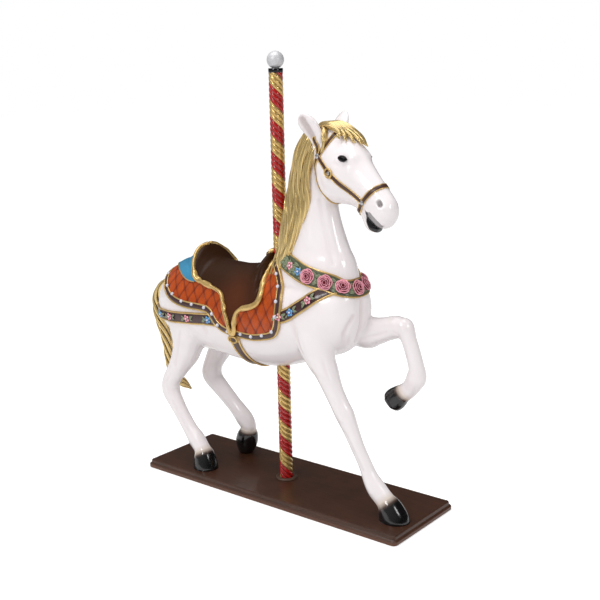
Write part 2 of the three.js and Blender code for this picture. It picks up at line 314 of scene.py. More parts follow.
def cast_off(bm: bmesh.types.BMesh, name: str, smooth: bool = True) -> bpy.types.Object:
    """Turns a mesh being modelled into a piece in the scene.

    Args:
        bm: The mesh, freed here.
        name: The piece's name.
        smooth: Whether its faces shade smoothly.

    Returns:
        The piece.
    """
    bmesh.ops.recalc_face_normals(bm, faces=bm.faces)
    for face in bm.faces:
        face.smooth = smooth
    mesh = bpy.data.meshes.new(name)
    bm.to_mesh(mesh)
    bm.free()
    piece = bpy.data.objects.new(name, mesh)
    bpy.context.scene.collection.objects.link(piece)
    return piece


def settle(piece: bpy.types.Object) -> None:
    """Applies a piece's modifiers to its mesh.

    Args:
        piece: The piece.
    """
    bpy.context.view_layer.update()
    evaluated = piece.evaluated_get(bpy.context.evaluated_depsgraph_get())
    mesh = bpy.data.meshes.new_from_object(evaluated)
    piece.modifiers.clear()
    old = piece.data
    piece.data = mesh
    bpy.data.meshes.remove(old)
    mesh.name = piece.name


def fuse(bm: bmesh.types.BMesh, name: str, grain: float, rounds: int) -> bpy.types.Object:
    """Makes one skin of overlapping bodies, with soft hollows where they meet.

    Args:
        bm: The bodies, freed here.
        name: The piece's name.
        grain: The skin's face size in metres.
        rounds: How often it is smoothed.

    Returns:
        The piece.
    """
    piece = cast_off(bm, name)
    melt = piece.modifiers.new("melt", "REMESH")
    melt.mode, melt.voxel_size, melt.use_smooth_shade = "VOXEL", grain, True
    soften = piece.modifiers.new("soften", "SMOOTH")
    soften.factor, soften.iterations = 0.5, rounds
    settle(piece)
    return piece


def positions(piece: bpy.types.Object) -> np.ndarray:
    """The vertices of a piece.

    Args:
        piece: The piece.

    Returns:
        Their places, one to a row.
    """
    out = np.empty(len(piece.data.vertices) * 3, np.float32)
    piece.data.vertices.foreach_get("co", out)
    return out.reshape(-1, 3).astype(float)


def normals(piece: bpy.types.Object) -> np.ndarray:
    """The vertex normals of a piece.

    Args:
        piece: The piece.

    Returns:
        The normals, one to a row.
    """
    out = np.empty(len(piece.data.vertices) * 3, np.float32)
    piece.data.vertex_normals.foreach_get("vector", out)
    return out.reshape(-1, 3).astype(float)


def put(piece: bpy.types.Object, points: np.ndarray) -> None:
    """Moves a piece's vertices to new places."""
    piece.data.vertices.foreach_set("co", points.astype(np.float32).ravel())
    piece.data.update()


def mark(piece: bpy.types.Object, name: str, values: np.ndarray) -> None:
    """Stores a share for every vertex under a name, for a material to read."""
    layer = piece.data.attributes.get(name) or piece.data.attributes.new(name, "FLOAT", "POINT")
    layer.data.foreach_set("value", values.astype(np.float32))


def shade_hollows(piece: bpy.types.Object, reach: float) -> None:
    """Adds painted shade: adds to a piece's stored depth how shut in each point is by the piece itself,
    which the paint darkens.

    Args:
        piece: The piece.
        reach: How far off a wall still shuts a point in, in metres.
    """
    bm = bmesh.new()
    bm.from_mesh(piece.data)
    tree = BVHTree.FromBMesh(bm)
    bm.free()
    points, out = positions(piece), normals(piece)
    helper = np.where(np.abs(out[:, 2:]) < 0.9, [[0.0, 0.0, 1.0]], [[1.0, 0.0, 0.0]])
    first = np.cross(out, helper)
    first /= np.linalg.norm(first, axis=1)[:, None] + 1e-9
    second = np.cross(out, first)
    starts = (points + out * (0.5 * MM)).tolist()
    shut, tries = np.zeros(len(points)), 8
    outward, sideways = 0.55, 0.83
    for turn in np.linspace(0, 2 * math.pi, tries, endpoint=False):
        lean = out * outward + first * (sideways * math.cos(turn))
        ways = (lean + second * (sideways * math.sin(turn))).tolist()
        shut += [tree.ray_cast(start, way, reach)[0] is not None for start, way in zip(starts, ways)]
    kept = np.zeros(len(points), np.float32)
    if "depth" in piece.data.attributes:
        piece.data.attributes["depth"].data.foreach_get("value", kept)
    mark(piece, "depth", np.clip(kept + eased(shut / tries, 0.3, 1.0), 0, 1))


def install(piece: bpy.types.Object, slot: str, *paints: Paint, nodes: tuple[str, ...] = ()) -> None:
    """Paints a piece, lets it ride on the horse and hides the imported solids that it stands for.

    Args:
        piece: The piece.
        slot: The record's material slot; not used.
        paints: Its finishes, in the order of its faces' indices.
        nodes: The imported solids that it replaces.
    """
    for paint in paints:
        piece.data.materials.append(paint.material())
    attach(piece, "root")
    if nodes:
        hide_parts(*nodes)
    LOG.info("%s: %d faces", piece.name, len(piece.data.polygons))


# ---- Sculpting -----------------------------------------------------------------------------------


@dataclass(frozen=True)
class Stroke:
    """One pass of a modelling tool: it raises or cuts the skin along a path.

    Attributes:
        path: Corners of the path in millimetres.
        reach: How far to its sides it works, in millimetres.
        height: How much it raises the skin, in millimetres, less than 0 to cut.
        mirrored: Whether the other side gets the same.
    """

    path: tuple[tuple[float, float, float], ...]
    reach: float
    height: float
    mirrored: bool = False

    def work(
        self, points: np.ndarray, carry: Callable[[np.ndarray], np.ndarray] | None = None
    ) -> np.ndarray:
        """How far this stroke moves each point, in metres.

        Args:
            points: The points.
            carry: Where the stroke's own corners are moved to first.

        Returns:
            The heights.
        """
        total = np.zeros(len(points))
        for side in (1, -1) if self.mirrored else (1,):
            path = np.array(self.path) * (1, side, 1)
            path = (carry(path) if carry else path) * MM
            near = far_from(points, path) / (self.reach * MM)
            total += self.height * MM * np.exp(-(near**2))
        return total


def sculpt(
    piece: bpy.types.Object,
    strokes: Iterable[Stroke],
    carry: Callable[[np.ndarray], np.ndarray] | None = None,
) -> np.ndarray:
    """Works a piece's skin with strokes, along its normals.

    Args:
        piece: The piece.
        strokes: The strokes.
        carry: Where the strokes' corners are moved to first.

    Returns:
        How deep each vertex was cut in all, in millimetres.
    """
    points, out = positions(piece), normals(piece)
    moved, cut = np.zeros(len(points)), np.zeros(len(points))
    for stroke in strokes:
        done = stroke.work(points, carry)
        moved += done
        cut += np.minimum(done, 0)
    put(piece, points + out * moved[:, None])
    return -cut / MM


# ---- Finishes ------------------------------------------------------------------------------------


class Wiring:
    """A node tree being wired."""

    def __init__(self, tree: bpy.types.NodeTree) -> None:
        """Starts on an empty tree.

        Args:
            tree: The tree.
        """
        self.tree = tree
        tree.nodes.clear()

    def node(
        self, kind: str, inputs: dict[str | int, object] | None = None, **settings: object
    ) -> bpy.types.Node:
        """Adds a node.

        Args:
            kind: Its type, without the ShaderNode that the name starts with.
            inputs: Its inputs: another node's output to join, or a value.
            settings: Its other settings.

        Returns:
            The node.
        """
        made = self.tree.nodes.new(kind if kind.startswith("NodeGroup") else f"ShaderNode{kind}")
        for name, value in settings.items():
            setattr(made, name, value)
        for name, value in (inputs or {}).items():
            if isinstance(value, bpy.types.NodeSocket):
                self.tree.links.new(value, made.inputs[name])
            else:
                made.inputs[name].default_value = value
        return made

    def camera_ray(self) -> bpy.types.NodeSocket:
        """1 where the camera looks straight at the surface, for the stage alone."""
        return self.node("LightPath").outputs["Is Camera Ray"]

    def attribute(self, name: str) -> bpy.types.NodeSocket:
        """The socket of a share that the piece stores for every vertex."""
        return self.node("Attribute", attribute_name=name).outputs["Fac"]

    def spread(
        self, value: object, low: float, high: float, to_low: float = 0, to_high: float = 1
    ) -> bpy.types.NodeSocket:
        """Maps a range of a value to another one, clamped.

        Args:
            value: The socket mapped.
            low: The range's start.
            high: The range's end.
            to_low: What the start becomes.
            to_high: What the end becomes.

        Returns:
            The socket with the result.
        """
        inputs = {"Value": value, "From Min": low, "From Max": high, "To Min": to_low, "To Max": to_high}
        return self.node("MapRange", inputs).outputs["Result"]

    def mix(self, share: object, first: object, second: object) -> bpy.types.NodeSocket:
        """Mixes two colours.

        Args:
            share: How much of the second.
            first: The first colour or socket.
            second: The second.

        Returns:
            The mixed colour's socket.
        """
        pair = [v if isinstance(v, bpy.types.NodeSocket) else (*v, 1.0) for v in (first, second)]
        made = self.node("Mix", {0: share, 6: pair[0], 7: pair[1]}, data_type="RGBA")
        return made.outputs[2]


def group_sockets(tree: bpy.types.NodeTree, inputs: dict[str, str], outputs: dict[str, str]) -> None:
    """Gives a node group its sockets.

    Args:
        tree: The group.
        inputs: The inputs' names and kinds.
        outputs: The outputs' names and kinds.
    """
    for direction, names in (("INPUT", inputs), ("OUTPUT", outputs)):
        for name, kind in names.items():
            tree.interface.new_socket(name=name, in_out=direction, socket_type=f"NodeSocket{kind}")


def brushed_paint_and_shade() -> bpy.types.NodeTree:
    """The group that every paint uses: brushed colour, darker with painted shade and duller down in the
    carving.

    Returns:
        The node group, made once.
    """
    name = "brushed_paint_and_shade"
    if name in bpy.data.node_groups:
        return bpy.data.node_groups[name]
    tree = bpy.data.node_groups.new(name, "ShaderNodeTree")
    w = Wiring(tree)
    group_sockets(
        tree,
        {"Colour": "Color", "Shade": "Color", "Depth": "Float", "Patches": "Float", "Unevenness": "Float",
         "Roughness": "Float"},
        {"Colour": "Color", "Roughness": "Float", "Height": "Float"},
    )
    given = w.node("NodeGroupInput")
    place = w.node("TexCoord").outputs["Object"]
    patches = w.node("TexNoise", {"Vector": place, "Scale": given.outputs["Patches"], "Detail": 3.0})
    fine = w.node("TexNoise", {"Vector": place, "Scale": 420.0, "Detail": 2.0})
    uneven = w.spread(patches.outputs["Fac"], 0.35, 0.7)
    share = w.node("Math", {0: uneven, 1: given.outputs["Unevenness"]}, operation="MULTIPLY").outputs[0]
    # Painted shade: the colour turns to the shade colour where the stored depth is high, as well as in
    # uneven patches.
    deepest = w.node("Math", {0: share, 1: given.outputs["Depth"]}, operation="MAXIMUM", use_clamp=True)
    depth = deepest.outputs[0]
    colour = w.mix(depth, given.outputs["Colour"], given.outputs["Shade"])
    dull = w.node("Math", {0: depth, 1: 0.18}, operation="MULTIPLY").outputs[0]
    hazy = w.spread(fine.outputs["Fac"], 0.3, 0.7, -0.02, 0.03)
    rough = w.node("Math", {0: given.outputs["Roughness"], 1: dull}, operation="ADD").outputs[0]
    rough = w.node("Math", {0: rough, 1: hazy}, operation="ADD", use_clamp=True).outputs[0]
    w.node("NodeGroupOutput", {"Colour": colour, "Roughness": rough, "Height": fine.outputs["Fac"]})
    return tree


@dataclass(frozen=True)
class Paint:
    """An enamel brushed on the casting.

    Attributes:
        name: The material's name.
        colour: Its colour where it lies thick.
        shade: Its colour in thin patches, and its painted shade down in the carving and hollows.
        patches: Patches per metre.
        unevenness: How strongly the patches show.
        roughness: The surface's roughness.
        metallic: 1 for gilt.
        coat: How much clear varnish lies over it.
        grain: Height of its fine grain in millimetres.
        gleam: The specular level under the varnish.
    """

    name: str
    colour: Colour
    shade: Colour
    patches: float = 25.0
    unevenness: float = 0.2
    roughness: float = 0.25
    metallic: float = 0.0
    coat: float = 0.4
    grain: float = 0.02
    gleam: float = 0.5

    def tint(self, w: Wiring, colour: bpy.types.NodeSocket) -> bpy.types.NodeSocket:
        """What is painted over the brushed colour; nothing on a plain paint."""
        return colour

    def material(self) -> bpy.types.Material:
        """The finish as a material, made once."""
        if self.name in bpy.data.materials:
            return bpy.data.materials[self.name]
        made = bpy.data.materials.new(self.name)
        made.use_nodes = True
        w = Wiring(made.node_tree)
        # The stored depth carries the painted shade of the carving and the hollows.
        inputs = {
            "Colour": (*self.colour, 1.0), "Shade": (*self.shade, 1.0), "Depth": w.attribute("depth"),
            "Patches": self.patches, "Unevenness": self.unevenness, "Roughness": self.roughness,
        }
        brushed = w.node("Group", node_tree=brushed_paint_and_shade())
        for name, value in inputs.items():
            if isinstance(value, bpy.types.NodeSocket):
                w.tree.links.new(value, brushed.inputs[name])
            else:
                brushed.inputs[name].default_value = value
        bump = w.node(
            "Bump", {"Height": brushed.outputs["Height"], "Strength": 0.6, "Distance": self.grain * MM}
        )
        shader = w.node(
            "BsdfPrincipled",
            {
                "Base Color": self.tint(w, brushed.outputs["Colour"]),
                "Roughness": brushed.outputs["Roughness"],
                "Metallic": self.metallic, "Coat Weight": self.coat, "Coat Roughness": 0.08,
                "Specular IOR Level": self.gleam, "Normal": bump.outputs["Normal"],
            },
        )
        w.node("OutputMaterial", {"Surface": shader.outputs["BSDF"]})
        return made


@dataclass(frozen=True)
class HorseEnamel(Paint):
    """The horse's white, with hooves, lips and nostrils painted, and painted shade in the ear cups, all by
    shares stored on the skin.
    """

    beige: Colour = srgb(216, 202, 190)
    brown: Colour = srgb(96, 76, 66)
    black: Colour = srgb(9, 8, 9)
    grey: Colour = srgb(82, 79, 81)
    # greyish-pink painted shade inside the ear cups
    ear_cup_shade: Colour = srgb(201, 188, 187)

    def tint(self, w: Wiring, colour: bpy.types.NodeSocket) -> bpy.types.NodeSocket:
        """Blends the hooves, lips and nostrils, and the painted shade in the ear cups, into the white.

        Args:
            w: The material's wiring.
            colour: The brushed white, with its painted shade.

        Returns:
            The finished colour.
        """
        hoof = w.attribute("hoof")
        colour = w.mix(w.spread(hoof, 0.0, 0.45), colour, self.beige)
        colour = w.mix(w.spread(hoof, 0.4, 0.75), colour, self.brown)
        colour = w.mix(w.spread(hoof, 0.6, 0.9), colour, self.black)
        colour = w.mix(w.attribute("ear_cup_shade"), colour, self.ear_cup_shade)
        colour = w.mix(w.attribute("black"), colour, self.black)
        return w.mix(w.attribute("grey"), colour, self.grey)


@dataclass(frozen=True)
class SaddlePaint(Paint):
    """The seat's brown, sprayed redder over the middle of the flap and darker to its edges."""

    warm: Colour = srgb(88, 42, 18)

    def tint(self, w: Wiring, colour: bpy.types.NodeSocket) -> bpy.types.NodeSocket:
        """Adds the redder middle to the brushed brown."""
        return w.mix(w.attribute("warm"), colour, self.warm)


@dataclass(frozen=True)
class Walnut(Paint):
    """The plate's stained board: grain along it, and lighter amber towards the bottom of its edge."""

    lower_amber: Colour = srgb(104, 56, 22)

    def tint(self, w: Wiring, colour: bpy.types.NodeSocket) -> bpy.types.NodeSocket:
        """Adds the grain and the lighter amber low on the edge.

        Args:
            w: The material's wiring.
            colour: The brushed stain.

        Returns:
            The finished colour.
        """
        place = w.node("TexCoord").outputs["Object"]
        drawn = w.node("Mapping", {"Vector": place, "Scale": (1.6, 26.0, 26.0)}).outputs[0]
        streaks = w.node("TexNoise", {"Vector": drawn, "Scale": 5.0, "Detail": 7.0, "Roughness": 0.65})
        share = w.spread(streaks.outputs["Fac"], 0.42, 0.68, 0.0, 0.55)
        colour = w.mix(share, colour, self.shade)
        # lighter amber towards the bottom of the edge
        return w.mix(w.attribute("lower_amber"), colour, self.lower_amber)


# Each finish's second colour is its painted shade down in the carving and hollows, and its colour in thin
# patches.
WHITE = HorseEnamel(
    "white_enamel", srgb(242, 235, 236), srgb(214, 196, 196), 7.0, 0.14, 0.16, coat=0.55, grain=0.015
)
GILT = Paint("old_gilt", srgb(255, 222, 148), srgb(48, 25, 8), 60.0, 0.2, 0.2, 0.72, 0.6, 0.06)
TRIM_GILT = Paint("trim_gilt", srgb(226, 190, 120), srgb(112, 78, 38), 40.0, 0.3, 0.28, 0.68, 0.4, 0.03)
SEAT_BROWN = SaddlePaint(
    "seat_brown", srgb(50, 25, 6), srgb(34, 16, 4), 9.0, 0.35, 0.4, coat=0.05, gleam=0.16
)
RUST = Paint("rust_cloth", srgb(184, 74, 10), srgb(98, 24, 4), 30.0, 0.35, 0.24, coat=0.3, gleam=0.25)
MAROON = Paint("dark_maroon", srgb(66, 34, 36), srgb(36, 20, 20), 40.0, 0.4, 0.28, coat=0.4, grain=0.04)
SKY = Paint("sky_panel", srgb(50, 138, 178), srgb(36, 108, 148), 14.0, 0.3, 0.32, coat=0.3)
ROSE_PINK = Paint("rose_pink", srgb(252, 172, 188), srgb(120, 8, 36), 60.0, 0.08, 0.28, coat=0.3, gleam=0.3)
PETAL_BLUE = Paint("petal_blue", srgb(104, 168, 222), srgb(40, 86, 140), 60.0, 0.15, 0.3, coat=0.4)
LEAF = Paint("leaf_green", srgb(158, 170, 136), srgb(30, 36, 20), 70.0, 0.3, 0.3, coat=0.3, gleam=0.3)
PEARL = Paint("pearl_stud", srgb(212, 212, 224), srgb(160, 160, 174), 50.0, 0.2, 0.14, coat=0.8)
FLOWER_HEART = Paint("flower_heart", srgb(236, 226, 224), srgb(190, 160, 160), 50.0, 0.2, 0.25)
BRIDLE_BROWN = Paint(
    "bridle_brown", srgb(74, 42, 32), srgb(40, 22, 16), 50.0, 0.3, 0.34, coat=0.3, grain=0.05
)
STEEL_LEAF = Paint("silver_leaf", srgb(205, 205, 210), srgb(120, 118, 122), 60.0, 0.3, 0.22, 0.9, 0.3)
EYE_BLACK = Paint("eye_black", srgb(6, 4, 5), srgb(3, 3, 3), 10.0, 0.1, 0.2, coat=0.1, grain=0.0, gleam=0.1)
POLE_RED = Paint("pole_red", srgb(172, 8, 8), srgb(84, 2, 4), 30.0, 0.15, 0.16, coat=0.6)
POLE_GOLD = Paint("pole_gold", srgb(228, 192, 118), srgb(128, 88, 40), 30.0, 0.2, 0.26, 0.75, 0.4)
RING_BROWN = Paint("flange_brown", srgb(62, 38, 26), srgb(30, 18, 12), 30.0, 0.3, 0.35, coat=0.3)
CHROME = Paint("band_chrome", srgb(60, 60, 64), srgb(20, 20, 22), 30.0, 0.1, 0.08, 1.0, 0.0)
BALL_SILVER = Paint("ball_silver", srgb(196, 192, 200), srgb(156, 152, 162), 12.0, 0.25, 0.28, 0.75, 0.4)
PLATE_WALNUT = Walnut(
    "plate_walnut", srgb(74, 44, 28), srgb(44, 26, 16), 12.0, 0.3, 0.34, coat=0.2, grain=0.05
)


# ---- The casting ---------------------------------------------------------------------------------


def turned_head(points: np.ndarray) -> np.ndarray:
    """Carries points of the straight head to where the horse holds it, looking a little to its right.

    Args:
        points: Points in millimetres, one to a row.

    Returns:
        The carried points.
    """
    turn, x = Casting.head_turn, Casting.head_x
    out = np.array(points, float)
    forward = out[:, 0] - x
    side = out[:, 1].copy()
    out[:, 0] = x + forward * math.cos(turn) - side * math.sin(turn)
    out[:, 1] = forward * math.sin(turn) + side * math.cos(turn)
    return out


@dataclass
class Casting:
    """The horse itself: trunk, neck, head and legs in one skin.

    Trunk rows are [x upper, z upper, x lower, z lower, half width] in the middle plane, limb rows are
    [x, y, z, half depth, half width], all in millimetres.
    """

    head_turn: float = -0.157
    head_x: float = 190.0
    foot: float = 33.4  # height of the standing hooves' soles
    hoof_reach: float = 0.11  # metres from a hoof that its paint can lie
    grain: float = 0.005
    head_grain: float = 0.0028
    collar_middle: tuple = (30, 0, 925)
    collar_slope: tuple = (0.26, 0, 1)
    trunk: tuple = (
        (-632, 715, -632, 650, 38), (-614, 762, -614, 600, 76), (-582, 798, -582, 556, 106),
        (-528, 832, -528, 526, 130), (-455, 853, -455, 512, 143), (-350, 860, -350, 500, 147),
        (-150, 856, -150, 485, 147), (-30, 872, -30, 489, 146), (80, 886, 80, 519, 145),
        (200, 891, 200, 562, 138), (280, 876, 280, 594, 120), (320, 848, 320, 645, 92),
        (342, 800, 342, 710, 48),
    )
    neck: tuple = (
        (332, 820, -60, 845, 112), (308, 918, -22, 903, 96), (284, 968, -3, 950, 83),
        (250, 1060, 26, 1068, 66), (236, 1130, 45, 1140, 59), (237, 1200, 64, 1220, 55),
        (246, 1280, 94, 1315, 49), (235, 1350, 130, 1378, 36),
    )
    head: tuple = (
        (148, 1385, 118, 1300, 28), (190, 1398, 150, 1250, 50), (235, 1394, 176, 1190, 60),
        (288, 1382, 200, 1148, 66), (338, 1354, 240, 1131, 72), (378, 1314, 288, 1130, 66),
        (406, 1280, 330, 1128, 54), (450, 1232, 374, 1114, 45), (505, 1174, 412, 1092, 44),
        (522, 1146, 430, 1084, 46), (524, 1116, 446, 1074, 42), (512, 1088, 462, 1066, 32),
        (498, 1070, 480, 1062, 14),
    )
    lower_jaw: tuple = (
        (400, 1150, 356, 1124, 34), (416, 1122, 384, 1100, 34), (440, 1082, 402, 1062, 31),
        (452, 1070, 422, 1048, 25), (460, 1062, 447, 1045, 13),
    )
    ear: tuple = (
        (206, 44, 1338, 24, 18), (203, 57, 1366, 35, 16), (196, 72, 1393, 40, 15),
        (188, 86, 1415, 37, 13), (181, 97, 1431, 25, 8), (177, 102, 1438, 10, 4),
    )
    limbs: tuple = (
        (  # right foreleg
            (175, -75, 760, 85, 60), (198, -87, 650, 76, 60), (224, -86, 573, 57, 48),
            (245, -84, 534, 47, 41), (273, -83, 472, 38, 33), (303, -81, 416, 36, 31),
            (322, -80, 384, 37, 32), (339, -79, 350, 33, 28), (373, -78, 279, 27, 23),
            (411, -76, 207, 27, 23), (428, -76, 171, 31, 27), (453, -75, 135, 37, 32),
            (482, -74, 105, 36, 32), (508, -73, 80, 38, 36),
        ),
        ((498, -73, 98, 34, 34), (508, -73, 80, 44, 42), (525, -72, 40, 57, 50), (529, -72, 20, 60, 51)),
        (  # raised left forearm
            (200, 68, 700, 72, 60), (301, 75, 657, 64, 54), (350, 76, 663, 52, 44),
            (395, 76, 677, 44, 38), (432, 77, 689, 42, 35), (458, 77, 696, 37, 34),
            (476, 77, 700, 22, 22),
        ),
        (  # its cannon
            (462, 77, 726, 14, 16), (470, 77, 706, 31, 30), (480, 77, 680, 33, 30),
            (491, 77, 650, 29, 26), (503, 77, 619, 29, 26), (522, 78, 554, 30, 27),
            (523, 78, 526, 37, 32), (515, 78, 500, 35, 32), (507, 78, 488, 16, 18),
        ),
        ((526, 78, 524, 22, 24), (514, 78, 502, 34, 32), (494, 79, 472, 32, 28), (466, 79, 450, 34, 31)),
        ((476, 79, 460, 24, 26), (462, 79, 449, 34, 33), (435, 80, 424, 43, 39), (416, 80, 407, 41, 40)),
        (  # right hind leg
            (-470, -62, 700, 120, 78), (-447, -72, 610, 100, 68), (-456, -80, 524, 68, 54),
            (-474, -82, 480, 59, 46), (-512, -85, 420, 45, 36), (-548, -89, 367, 39, 33),
            (-557, -91, 333, 40, 35), (-548, -93, 304, 38, 33), (-531, -95, 281, 35, 30),
            (-490, -98, 229, 31, 27), (-443, -101, 173, 32, 27), (-410, -103, 140, 37, 32),
            (-382, -106, 112, 34, 31), (-365, -108, 88, 36, 34),
        ),
        (
            (-372, -108, 100, 34, 34), (-366, -108, 85, 43, 41), (-357, -111, 45, 52, 47),
            (-354, -112, 20, 55, 49),
        ),
        (  # left hind leg
            (-440, 62, 690, 115, 76), (-405, 73, 600, 96, 66), (-418, 84, 510, 62, 52),
            (-440, 86, 468, 50, 44), (-480, 88, 405, 42, 36), (-496, 90, 357, 45, 38),
            (-483, 92, 328, 41, 35), (-458, 94, 304, 38, 32), (-390, 97, 244, 34, 29),
            (-354, 98, 212, 35, 31), (-330, 100, 186, 38, 33), (-313, 102, 162, 35, 31),
            (-307, 103, 140, 30, 28),
        ),
        (
            (-306, 103, 146, 26, 28), (-312, 104, 126, 41, 38), (-325, 106, 90, 47, 45),
            (-333, 108, 50, 38, 36), (-334, 108, 22, 20, 22),
        ),
    )
    # Each hoof: a point where the white begins to turn, and one well inside the black.
    hooves: tuple = (
        ((474, -74, 114), (510, -73, 72)), ((486, 79, 476), (452, 80, 442)),
        ((-385, -106, 116), (-363, -109, 74)), ((-308, 103, 162), (-315, 105, 122)),
    )
    # Where the head is carved finely: [x, y, z, reach] on the straight head.
    fine: tuple = ((334, -64, 1294, 40), (490, -33, 1150, 28), (446, -36, 1088, 48))
    lips: tuple = (
        (422, 1126), (438, 1113), (456, 1094), (476, 1068), (474, 1056), (460, 1046), (444, 1046),
        (430, 1058), (420, 1084), (418, 1106),
    )
    mouth: tuple = (
        (429, 1119), (448, 1120), (470, 1105), (487, 1089), (494, 1076), (478, 1062), (462, 1062),
        (446, 1076), (434, 1096),
    )
    nostril: tuple = ((485, -37, 1155), (489, -36, 1148))
    nostril_fade: tuple = (13.5, 4.0)
    # the ear cups' line, and how far their painted shade fades
    ear_cup: tuple = ((203, -74, 1362), (196, -88, 1392), (186, -102, 1418))
    cup_fade: tuple = (20.0, 9.0)
    body_strokes: tuple[Stroke, ...] = (
        Stroke(((346, 0, 812), (344, 0, 740), (334, 0, 684), (308, 0, 640)), 11, -5.5),  # breast
        Stroke(((330, 46, 800), (326, 52, 744), (308, 50, 694)), 26, 4.5, True),
        Stroke(((340, -50, 742), (327, -68, 710), (318, -74, 681), (292, -52, 634)), 9, -5.5),
        Stroke(((318, 104, 760), (322, 96, 722), (330, 84, 700)), 10, -4.5),
        Stroke(((190, 122, 860), (232, 120, 790), (262, 108, 728)), 26, 3.5, True),  # shoulders
        Stroke(((120, 142, 800), (136, 142, 720), (152, 136, 664), (173, 131, 606)), 13, -4.0, True),
        Stroke(((200, -144, 662), (214, -138, 600), (234, -126, 544)), 17, 3.5),  # right foreleg
        Stroke(((238, -124, 640), (258, -118, 580), (278, -112, 512)), 6.5, -3.0),
        Stroke(((314, -114, 408), (330, -112, 372)), 10, 2.6),
        Stroke(((350, -86, 404), (358, -86, 376)), 8, 2.2),
        Stroke(((296, -106, 452), (300, -108, 428)), 6, -2.2),
        Stroke(((338, -104, 326), (375, -101, 262), (412, -98, 198)), 5, -3.0),
        Stroke(((434, -104, 146), (446, -107, 128)), 11, 2.4),
        Stroke(((345, 34, 702), (392, 40, 706), (432, 46, 710)), 12, 3.0),  # raised foreleg
        Stroke(((303, 31, 632), (345, 36, 650), (386, 40, 662), (416, 44, 676)), 7, -3.0),
        Stroke(((466, 48, 716), (486, 48, 694)), 10, 2.6),
        Stroke(((450, 44, 680), (466, 46, 664)), 6, -2.2),
        Stroke(((484, 50, 634), (500, 50, 572)), 5, -2.8),
        Stroke(((522, 48, 534), (514, 48, 508)), 10, 2.4),
        # stifles and buttocks
        Stroke(((-350, 146, 612), (-392, 142, 580), (-424, 138, 556)), 28, 4.5, True),
        Stroke(((-560, 104, 706), (-544, 120, 630), (-508, 128, 566)), 18, 3.5, True),
        Stroke(((-300, 148, 640), (-296, 146, 590), (-286, 140, 536)), 15, -4.0, True),
        Stroke(((-440, -134, 590), (-466, -134, 511), (-494, -123, 441)), 9, -3.4),  # right hind leg
        Stroke(((-402, -118, 552), (-428, -120, 496), (-472, -116, 428)), 12, 3.0),
        Stroke(((-556, -124, 350), (-542, -124, 320)), 10, 2.8),
        Stroke(((-524, -114, 398), (-546, -120, 370)), 6, -2.8),
        Stroke(((-520, -122, 288), (-478, -124, 232), (-434, -127, 178)), 5, -3.0),
        Stroke(((-404, -138, 146), (-394, -138, 128)), 11, 2.2),
        Stroke(((-386, 50, 560), (-420, 50, 492), (-452, 56, 432)), 9, -3.0),  # left hind leg
        Stroke(((-496, 60, 362), (-480, 58, 330)), 10, 2.6),
        Stroke(((-446, 64, 288), (-392, 68, 240), (-352, 68, 206)), 5, -2.8),
    )
    neck_strokes: tuple[Stroke, ...] = (
        Stroke(((202, 44, 1142), (218, 48, 1062), (244, 54, 990), (268, 62, 926)), 11, -4.0, True),
        Stroke(((172, 58, 1124), (168, 72, 1046), (172, 78, 984)), 15, 2.8, True),
        Stroke(((238, 0, 1136), (248, 0, 1060), (284, 0, 968)), 15, 3.0),
    )
    head_strokes: tuple[Stroke, ...] = (
        Stroke(((374, 44, 1304), (360, 52, 1322)), 19, 9.0, True),  # brows
        Stroke(((316, 66, 1318), (340, 66, 1322), (360, 60, 1310)), 10, 2.5, True),
        # folds
        Stroke(((304, 70, 1300), (320, 70, 1315), (344, 68, 1317), (366, 60, 1302)), 4.5, -3.0, True),
        # upper lids
        Stroke(((310, 70, 1293), (322, 70, 1305), (342, 68, 1306), (361, 60, 1291)), 3.8, 5.0, True),
        # lower lids
        Stroke(((310, 70, 1291), (325, 70, 1281), (343, 68, 1280), (361, 60, 1289)), 3.6, 4.2, True),
        Stroke(((310, 70, 1274), (334, 70, 1268), (362, 60, 1276)), 8, -2.0, True),
        Stroke(((365, 64, 1242), (400, 56, 1212), (430, 48, 1192)), 14, 2.6, True),  # facial crests
        # jaws
        Stroke(((214, 50, 1214), (226, 54, 1176), (262, 58, 1156), (310, 58, 1152)), 15, 4.0, True),
        Stroke(((300, 70, 1200), (262, 66, 1212)), 30, 2.5, True),
        # throat
        Stroke(((200, 52, 1290), (192, 52, 1240), (204, 50, 1190), (232, 40, 1146)), 8, -4.0, True),
        Stroke(((322, 40, 1136), (360, 38, 1128)), 10, -3.0, True),
        Stroke(((485, 40, 1156), (490, 38, 1147)), 8.0, -8.5, True),  # nostrils
        Stroke(((474, 44, 1160), (480, 44, 1172), (494, 40, 1168)), 5.5, 2.8, True),
        Stroke(((478, 42, 1146), (488, 40, 1132), (501, 36, 1136)), 5.5, 2.2, True),
        Stroke(((430, 42, 1112), (450, 40, 1088), (464, 34, 1067)), 6.0, -6.5, True),  # mouth
        Stroke(((428, 42, 1124), (446, 42, 1108), (462, 38, 1090), (478, 32, 1068)), 5.0, 2.2, True),
        Stroke(((420, 36, 1108), (424, 36, 1084), (434, 34, 1062), (448, 28, 1050)), 5.0, 2.0, True),
        Stroke(((204, 74, 1362), (197, 88, 1392), (187, 102, 1418)), 15.0, -8.5, True),  # ears
    )

